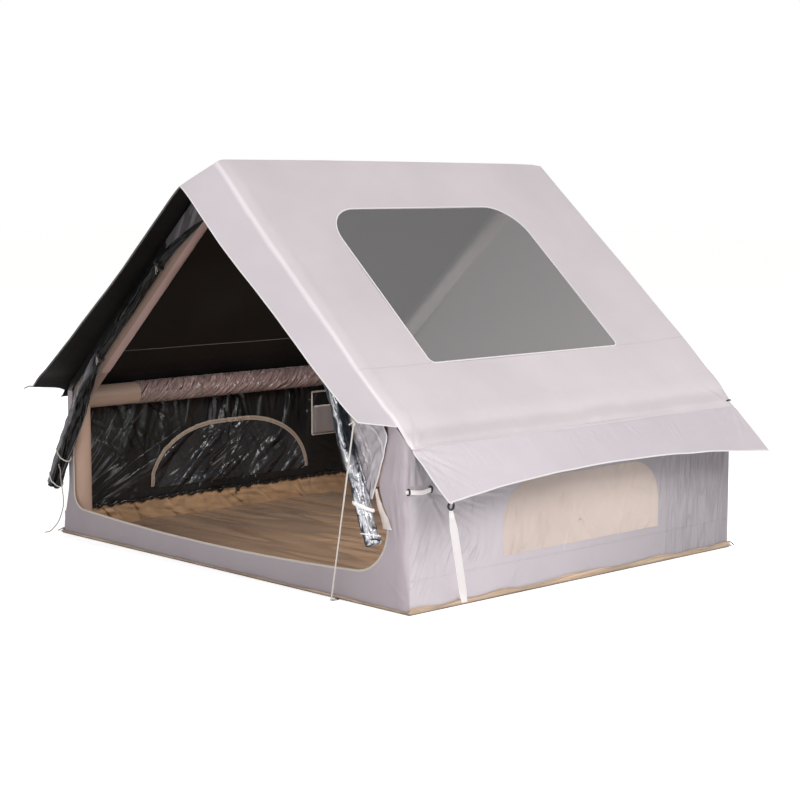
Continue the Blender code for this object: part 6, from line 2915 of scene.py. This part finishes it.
@dataclass
class CornerGear:
    """The handle band and gusset at the front right corner, the awning's ring and its strap."""

    finishes: Finishes

    def handle(self) -> None:
        """The white band bowed between its two black ends."""
        low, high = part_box("corner_handle_band")
        z = (low.z + high.z) / 2
        out = high.x - 0.002
        wall = HALF_WIDTH + 0.002
        ahead = 0.02
        front, rear, middle = low.y - ahead, high.y - ahead, (low.y + high.y) / 2 - ahead
        points = [
            (wall - 0.012, front - 0.014, z),
            (out - 0.012, front - 0.004, z),
            (out - 0.003, front + 0.02, z - 0.002),
            (out + 0.002, middle, z - 0.006),
            (out, rear - 0.02, z - 0.002),
            (out - 0.004, rear + 0.006, z),
            (wall, rear + 0.018, z),
        ]
        band = Sweep("handle_strap", np.array(points), 0.0018, 70, 16, UP, 6.2)
        hang(band.build(), self.finishes.strap, "corner_handle_band")
        for word in ("front", "rear"):
            node = "handle_end_" + word
            a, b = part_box(node)
            middle = (a + b) / 2
            turn = np.linspace(0.0, math.tau, 33)
            x = middle.x - (0.008 if word == "front" else 0.0)
            y = np.full(33, middle.y - ahead)
            ring = np.stack((x + 0.009 * np.cos(turn), y, middle.z + 0.0155 * np.sin(turn)), axis=1)
            piece = Sweep("handle_loop_" + word, ring, 0.0032, 60, 12, TO_REAR, 1.9, curved=False, ring=True)
            hang(piece.build(), self.finishes.plastic, node)

    def gusset(self) -> None:
        """The doubled cloth above the handle."""
        low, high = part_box("corner_gusset")

        def place(u: Array, v: Array) -> Array:
            """A point of the puffed cloth.

            Args:
                u: Share along the sheet's first edge.
                v: Share along its second edge.

            Returns:
                The points.
            """
            width = 0.1 + (0.05 - 0.1) * v
            y, z = low.y + width * u, low.z + (high.z - low.z) * v
            puff = 0.002 + 0.011 * np.maximum(0.0, 1.0 - np.abs(u - 0.3) / 0.28) * np.sin(math.pi * v) ** 0.6
            puff += 0.004 * np.sin(u * 9.0 + v * 5.0) * np.sin(math.pi * u)
            return np.stack((np.full_like(u, HALF_WIDTH + 0.001) + puff, y, z), axis=1)

        piece = mapped_grid("gusset_cloth", 20, 30, place, outward=TO_RIGHT)
        hang(piece, self.finishes.wall, "corner_gusset", wall=LOOSE)

    def ring(self) -> None:
        """The black ring and the white tab that holds it to the awning's corner."""
        low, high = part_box("awning_ring")
        middle = (low + high) / 2
        turn = np.linspace(0.0, math.tau, 49)
        line = np.stack(
            (np.full(49, middle.x), middle.y + 0.018 * np.cos(turn), middle.z + 0.018 * np.sin(turn)), axis=1
        )
        piece = Sweep("awning_buckle", line, 0.0042, 96, 14, TO_RIGHT, 1.7, curved=False, ring=True)
        hang(piece.build(), self.finishes.plastic, "awning_ring", body="right_awning_body")
        points = [
            (middle.x - 0.004, middle.y, middle.z + 0.0235), (middle.x - 0.0045, middle.y, middle.z + 0.012),
            (middle.x + 0.0045, middle.y, middle.z + 0.012), (middle.x + 0.004, middle.y, middle.z + 0.0235)
        ]
        tab = Sweep("awning_tab", np.array(points), 0.0014, 40, 12, TO_REAR, 7.0)
        trim(tab.build(), self.finishes.strap, "right_awning", body="right_awning_body")

    def strap(self) -> None:
        """The webbing from the ring to the wall's foot, with its free tail folded back."""
        ring_low, ring_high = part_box("awning_ring")
        middle = (ring_low + ring_high) / 2
        top = np.array((middle.x, middle.y, ring_low.z - 0.0018))
        foot = np.array((HALF_WIDTH + 0.0115, -0.897, 0.012))
        along = foot - top
        across = unit(np.cross(along, UP))

        def place(u: Array, v: Array) -> Array:
            """Turns the webbing from the ring's way to the wall's.

            Args:
                u: Share of the width.
                v: Share of the length.

            Returns:
                The points.
            """
            turn = np.maximum(0.0, (v - 0.8) / 0.2)[:, None]
            width = across * (1 - turn) + np.array(TO_REAR) * turn
            width = unit(width)
            narrow = 0.5 + 0.5 * smoothstep(0.0, 0.2, v)
            sag = 0.004 * np.sin(math.pi * v)[:, None] * np.array((0.3, 0.0, -1.0))
            cup = (
                0.0012 * np.cos((u - 0.5) * math.pi) * np.sin(v * 40.0) * 0.4
            )[:, None] * np.array((0.7, -0.7, 0.0))
            return top + along * v[:, None] + width * (0.038 * (u - 0.5) * narrow)[:, None] + sag + cup

        piece = mapped_grid("strap_webbing", 10, 90, place, outward=(1.0, -1.0, 0.0))
        hang(piece, self.finishes.strap, "awning_strap", wall=STRAP)
        out = np.array((0.62, -0.66, 0.1))

        def tail(u: Array, v: Array) -> Array:
            """Curls the free end.

            Args:
                u: Share of the width.
                v: Share of the length.

            Returns:
                The points.
            """
            start = top + along * 0.03 + out * 0.0035
            run = unit(along) * 0.062
            curl = out[None, :] * (0.011 * np.sin(v * 2.6) ** 2)[:, None]
            return start + run * v[:, None] + curl + across * (0.024 * (u - 0.5))[:, None]

        end = mapped_grid("strap_tail", 8, 16, tail, outward=(1.0, -1.0, 0.0))
        trim(end, self.finishes.strap, "awning_strap", wall=STRAP)

    def build(self) -> None:
        """Builds all the gear of that corner."""
        self.handle()
        self.gusset()
        self.ring()
        self.strap()


@dataclass
class GroundGear:
    """The peg loops, the guy rope and the left tie cord."""

    finishes: Finishes

    def loop(self, node: str) -> None:
        """One webbing loop that lies on the ground.

        Args:
            node: The CAD node that it stands for.
        """
        low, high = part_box(node)
        inset = 0.004
        corners = [
            (low.x + inset, low.y + inset), (high.x - inset, low.y + inset), (high.x - inset, high.y - inset),
            (low.x + inset, high.y - inset), (low.x + inset, low.y + inset)
        ]
        line = subdivide(corners, 0.004)
        smooth = line.copy()
        for _ in range(3):
            ring = smooth[:-1]
            ring = (np.roll(ring, 1, axis=0) + ring * 2 + np.roll(ring, -1, axis=0)) / 4
            smooth = np.vstack((ring, ring[:1]))
        points = np.stack((smooth[:, 0], smooth[:, 1], np.full(len(smooth), 0.0024)), axis=1)
        piece = Sweep(node + "_webbing", points, 0.0036, 90, 10, UP, 0.45, curved=False, ring=True)
        hang(piece.build(), self.finishes.plastic, node)

    def tape(self, name: str, points: list[Triple]) -> None:
        """A narrow tape from a wall's foot to its peg loop."""
        piece = Sweep(name, np.array(points), 0.003, 24, 8, UP)
        trim(piece.build(), self.finishes.grey_piping, "bathtub_floor")

    def knot(self, at: Array) -> None:
        """The guy rope's knot at the overhang's corner, with its loose end.

        Args:
            at: Where it is tied.
        """
        ways = (
            [(0.006, -0.004, 0.0), (-0.012, -0.006, -0.008), (-0.034, -0.006, -0.02)],
            [(-0.012, -0.004, 0.004), (0.008, -0.007, -0.010), (-0.006, -0.005, -0.026)]
        )
        for index, way in enumerate(ways):
            end = Sweep(f"guy_knot_{index + 1}", at + np.array(way), 0.0036, 24, 10, TO_REAR)
            trim(end.build(), self.finishes.cord, "right_overhang")

    def rope(
        self, name: str, points: Array, diameter: float, node: str, finish: Material
    ) -> None:
        """A cord as a bevelled curve through its route.

        Args:
            name: The piece's name.
            points: The route, in metres.
            diameter: The cord's diameter.
            node: The CAD node that it stands for.
            finish: Its material.
        """
        curve = bpy.data.curves.new(name, "CURVE")
        curve.dimensions = "3D"
        curve.bevel_depth = diameter / 2
        curve.bevel_resolution = 4
        curve.use_fill_caps = True
        spline = curve.splines.new("POLY")
        spline.points.add(len(points) - 1)
        for target, point in zip(spline.points, points):
            target.co = (*point, 1.0)
        piece = bpy.data.objects.new(name, curve)
        bpy.context.scene.collection.objects.link(piece)
        piece.data.materials.append(finish)
        ride(piece, "tent", node, node)
        length = float(whole_length(points))

    def build(self) -> None:
        """Builds the loops and the cords."""
        for node in ("front_left_peg_loop", "rear_right_peg_loop", "guy_anchor_loop"):
            self.loop(node)
        guy, tie = cord_routes()
        self.rope("guy_cord", guy, 0.008, "guy_rope", self.finishes.cord)
        self.knot(guy[np.argmax(guy[:, 2])])
        self.tape(
            "rear_right_peg_tape", [(1.502, 1.262, 0.034), (1.506, 1.285, 0.028), (1.508, 1.318, 0.006)]
        )
        self.tape(
            "front_left_peg_tape", [(-1.502, -1.262, 0.03), (-1.525, -1.264, 0.022), (-1.566, -1.264, 0.005)]
        )
        self.rope("tie_cord", tie, 0.006, "left_tie_cord", self.finishes.tie)


def cord_routes() -> tuple[Array, Array]:
    """The routes of the guy rope and of the tie cord, as the frame has them.

    Returns:
        The two routes, in metres.
    """
    middle = wing_point(0.985, 0.96)
    under = unit(np.cross(wing_point(1.0, 0.96) - middle, wing_point(0.985, 1.0) - middle))
    if under[2] > 0:
        under = -under
    start = middle + under * 0.0033
    foot = np.array((0.986, -HALF_LENGTH - 0.008 - GAP - 0.05 + 0.004, 0.0005 + 0.003 + GAP))
    leave, land = start + under * 0.01, foot + np.array((0.0, 0.0, 0.01))
    straight = [leave + (land - leave) * step / 50 for step in range(51)]
    guy = np.array([start, *straight, foot])
    index = 13
    along = unit(LEFT_ROLL[index + 1, :3] - LEFT_ROLL[index - 1, :3])
    side = np.array((1.0, -1.0, 0.0))
    side = unit(side - along * (side @ along))
    ring = (LEFT_ROLL[index, 3] + 0.0012) / math.cos(math.pi / 24) + 0.003
    begin = LEFT_ROLL[index, :3] + side * (ring + GAP)
    route = [
        begin + side * 0.01,
        (-1.372, -1.368, 0.405),
        (-1.371, -1.367, 0.355),
        (-1.367, -1.362, 0.300),
        (-1.363, -1.357, 0.240),
        (-1.371, -1.354, 0.185),
        (-1.395, -1.353, 0.135),
        (-1.430, -1.352, 0.085),
        (-1.485, -1.351, 0.040),
        (-1.525, -1.350, 0.016),
        (-1.574, -1.350, 0.0035),
    ]
    tie = np.vstack((begin, on_curve(np.array([tuple(place) for place in route]), np.linspace(0, 1, 60))))
    return guy, tie


def wing_point(u: float, v: float) -> Array:
    """A point on the right wing's outer face in the frame.

    Args:
        u: Share down the slope.
        v: Share of the way forward.

    Returns:
        The point.
    """
    tilt = math.atan2(0.14, 0.23)
    start = 0.00015 + 0.003 * SIN
    run = 1.9 + (1.85 - 1.9) * v
    x = start + (run * COS - start) * u
    y = -HALF_LENGTH - 0.003 * math.sin(tilt) - GAP - 0.23 * v
    return np.array((x, y, RIDGE - TAN * x - 0.14 * v * (1 - u)))


@dataclass
class Studio:
    """The pale floor, the lights and the camera."""

    place: Triple = (8.184, -7.633, 2.156)
    yaw: float = -46.676
    pitch: float = 6.775
    lens: float = 87.0165

    def camera(self) -> None:
        """Puts the camera where the photograph was taken from."""
        data = bpy.data.cameras.new("photo_camera")
        data.lens = self.lens
        data.sensor_width = 36.0
        data.clip_end = 200.0
        eye = bpy.data.objects.new("photo_camera", data)
        bpy.context.scene.collection.objects.link(eye)
        yaw, pitch = math.radians(self.yaw), math.radians(self.pitch)
        ahead = Vector((math.sin(yaw) * math.cos(pitch), math.cos(yaw) * math.cos(pitch), -math.sin(pitch)))
        right = ahead.cross(Vector(UP)).normalized()
        up = right.cross(ahead)
        eye.matrix_world = Matrix.Translation(self.place) @ Matrix((right, up, -ahead)).transposed().to_4x4()
        bpy.context.scene.camera = eye

    def floor(self) -> None:
        """A wide white floor that keeps a faint shadow."""
        deselect()
        bpy.ops.mesh.primitive_circle_add(
            vertices=96, radius=60.0, fill_type="NGON", location=(0.0, 0.0, -0.0005)
        )
        ground = bpy.context.object
        ground.name = "studio_floor"
        shader = Shader("studio_white")
        shader.finish(Base_Color=(0.86, 0.86, 0.86), Roughness=0.9, Specular_IOR_Level=0.0)
        path = shader.add("LightPath")
        seen = shader.maths("MAXIMUM", path.outputs["Is Camera Ray"], path.outputs["Is Glossy Ray"])
        glow = shader.add("Emission", {"Color": (1.0, 1.0, 1.0, 1.0), "Strength": 0.62})
        both = shader.add("AddShader", {0: shader.main.outputs[0], 1: glow.outputs[0]})
        mixed = shader.add("MixShader", {0: seen, 1: shader.main.outputs[0], 2: both.outputs[0]})
        output = next(node for node in shader.tree.nodes if node.type == "OUTPUT_MATERIAL")
        shader.tree.links.new(mixed.outputs[0], output.inputs[0])
        dress(ground, shader.material)

    def lights(self) -> None:
        """A soft surround and one large soft lamp from the right."""
        world = bpy.data.worlds.new("studio")
        bpy.context.scene.world = world
        world.use_nodes = True
        tree = world.node_tree
        soft = tree.nodes["Background"]
        soft.inputs[0].default_value = (1.0, 0.985, 0.98, 1.0)
        soft.inputs[1].default_value = 0.44
        bright = tree.nodes.new("ShaderNodeBackground")
        bright.inputs[0].default_value = (1.0, 1.0, 1.0, 1.0)
        bright.inputs[1].default_value = 1.0
        path = tree.nodes.new("ShaderNodeLightPath")
        seen = tree.nodes.new("ShaderNodeMath")
        seen.operation = "MAXIMUM"
        tree.links.new(path.outputs["Is Camera Ray"], seen.inputs[0])
        tree.links.new(path.outputs["Is Transmission Ray"], seen.inputs[1])
        mixed = tree.nodes.new("ShaderNodeMixShader")
        tree.links.new(seen.outputs[0], mixed.inputs[0])
        tree.links.new(soft.outputs[0], mixed.inputs[1])
        tree.links.new(bright.outputs[0], mixed.inputs[2])
        output = next(node for node in tree.nodes if node.type == "OUTPUT_WORLD")
        tree.links.new(mixed.outputs[0], output.inputs[0])
        self.lamp("key_lamp", (9.0, -1.6, 7.2), (0.6, 0.0, 0.8), (5.0, 5.0), 540.0)
        self.lamp("front_lamp", (5.0, -9.0, 2.6), (0.8, -0.8, 0.5), (4.0, 4.0), 130.0)
        self.lamp("rear_lamp", (-7.5, 7.5, 6.5), (0.0, 0.0, 0.8), (6.0, 6.0), 420.0)
        self.lamp("inner_lamp", (0.25, -0.2, 1.52), (-0.15, 0.0, 0.0), (0.75, 0.75), 24.0)

    def lamp(
        self,
        name: str,
        place: Triple,
        target: Triple,
        size: Pair,
        power: float,
    ) -> None:
        """Adds a soft rectangular lamp that no camera sees.

        Args:
            name: The lamp's name.
            place: Where it stands.
            target: What it looks at.
            size: Its two sides.
            power: Its power in watts.
        """
        data = bpy.data.lights.new(name, "AREA")
        data.shape = "RECTANGLE"
        data.size, data.size_y = size
        data.energy = power
        lamp = bpy.data.objects.new(name, data)
        bpy.context.scene.collection.objects.link(lamp)
        lamp.visible_camera = False
        look = Vector(target) - Vector(place)
        lamp.matrix_world = Matrix.Translation(place) @ look.to_track_quat("-Z", "Y").to_matrix().to_4x4()

    def build(self) -> None:
        """Sets the whole stage."""
        self.camera()
        self.floor()
        self.lights()
        bpy.context.scene.view_settings.view_transform = "Standard"


def dress_kept_nodes(finishes: Finishes) -> None:
    """Gives the CAD nodes that stay shown their materials.

    Args:
        finishes: The tent's finishes.
    """
    kept = {
        "valve_body": finishes.plastic,
        "valve_cap": finishes.plastic,
        "left_zip_slider": finishes.metal_zip,
        "right_zip_slider": finishes.metal_zip,
        "rear_zip_slider": finishes.metal_zip,
    }
    for name, material in kept.items():
        dress(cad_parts[name], material)


def main() -> None:
    """Builds the tent's looks round the frame, piece by piece."""
    logging.basicConfig(level=logging.INFO, format="%(name)s: %(message)s")
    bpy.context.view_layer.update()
    Studio().build()
    finishes = Finishes()
    GroundGear(finishes).build()
    dress_kept_nodes(finishes)
    roof = Roof(finishes)
    roof.build()
    Overhang(finishes, roof).build()
    Awnings(finishes).build()
    FrontFace(finishes).build()
    SideWalls(finishes, roof).build()
    AirFrame(finishes).build()
    FloorTray(finishes).build()
    RolledDoor(finishes).build()
    Organiser(finishes).build()
    CornerGear(finishes).build()


if __name__ == "__main__":
    main()
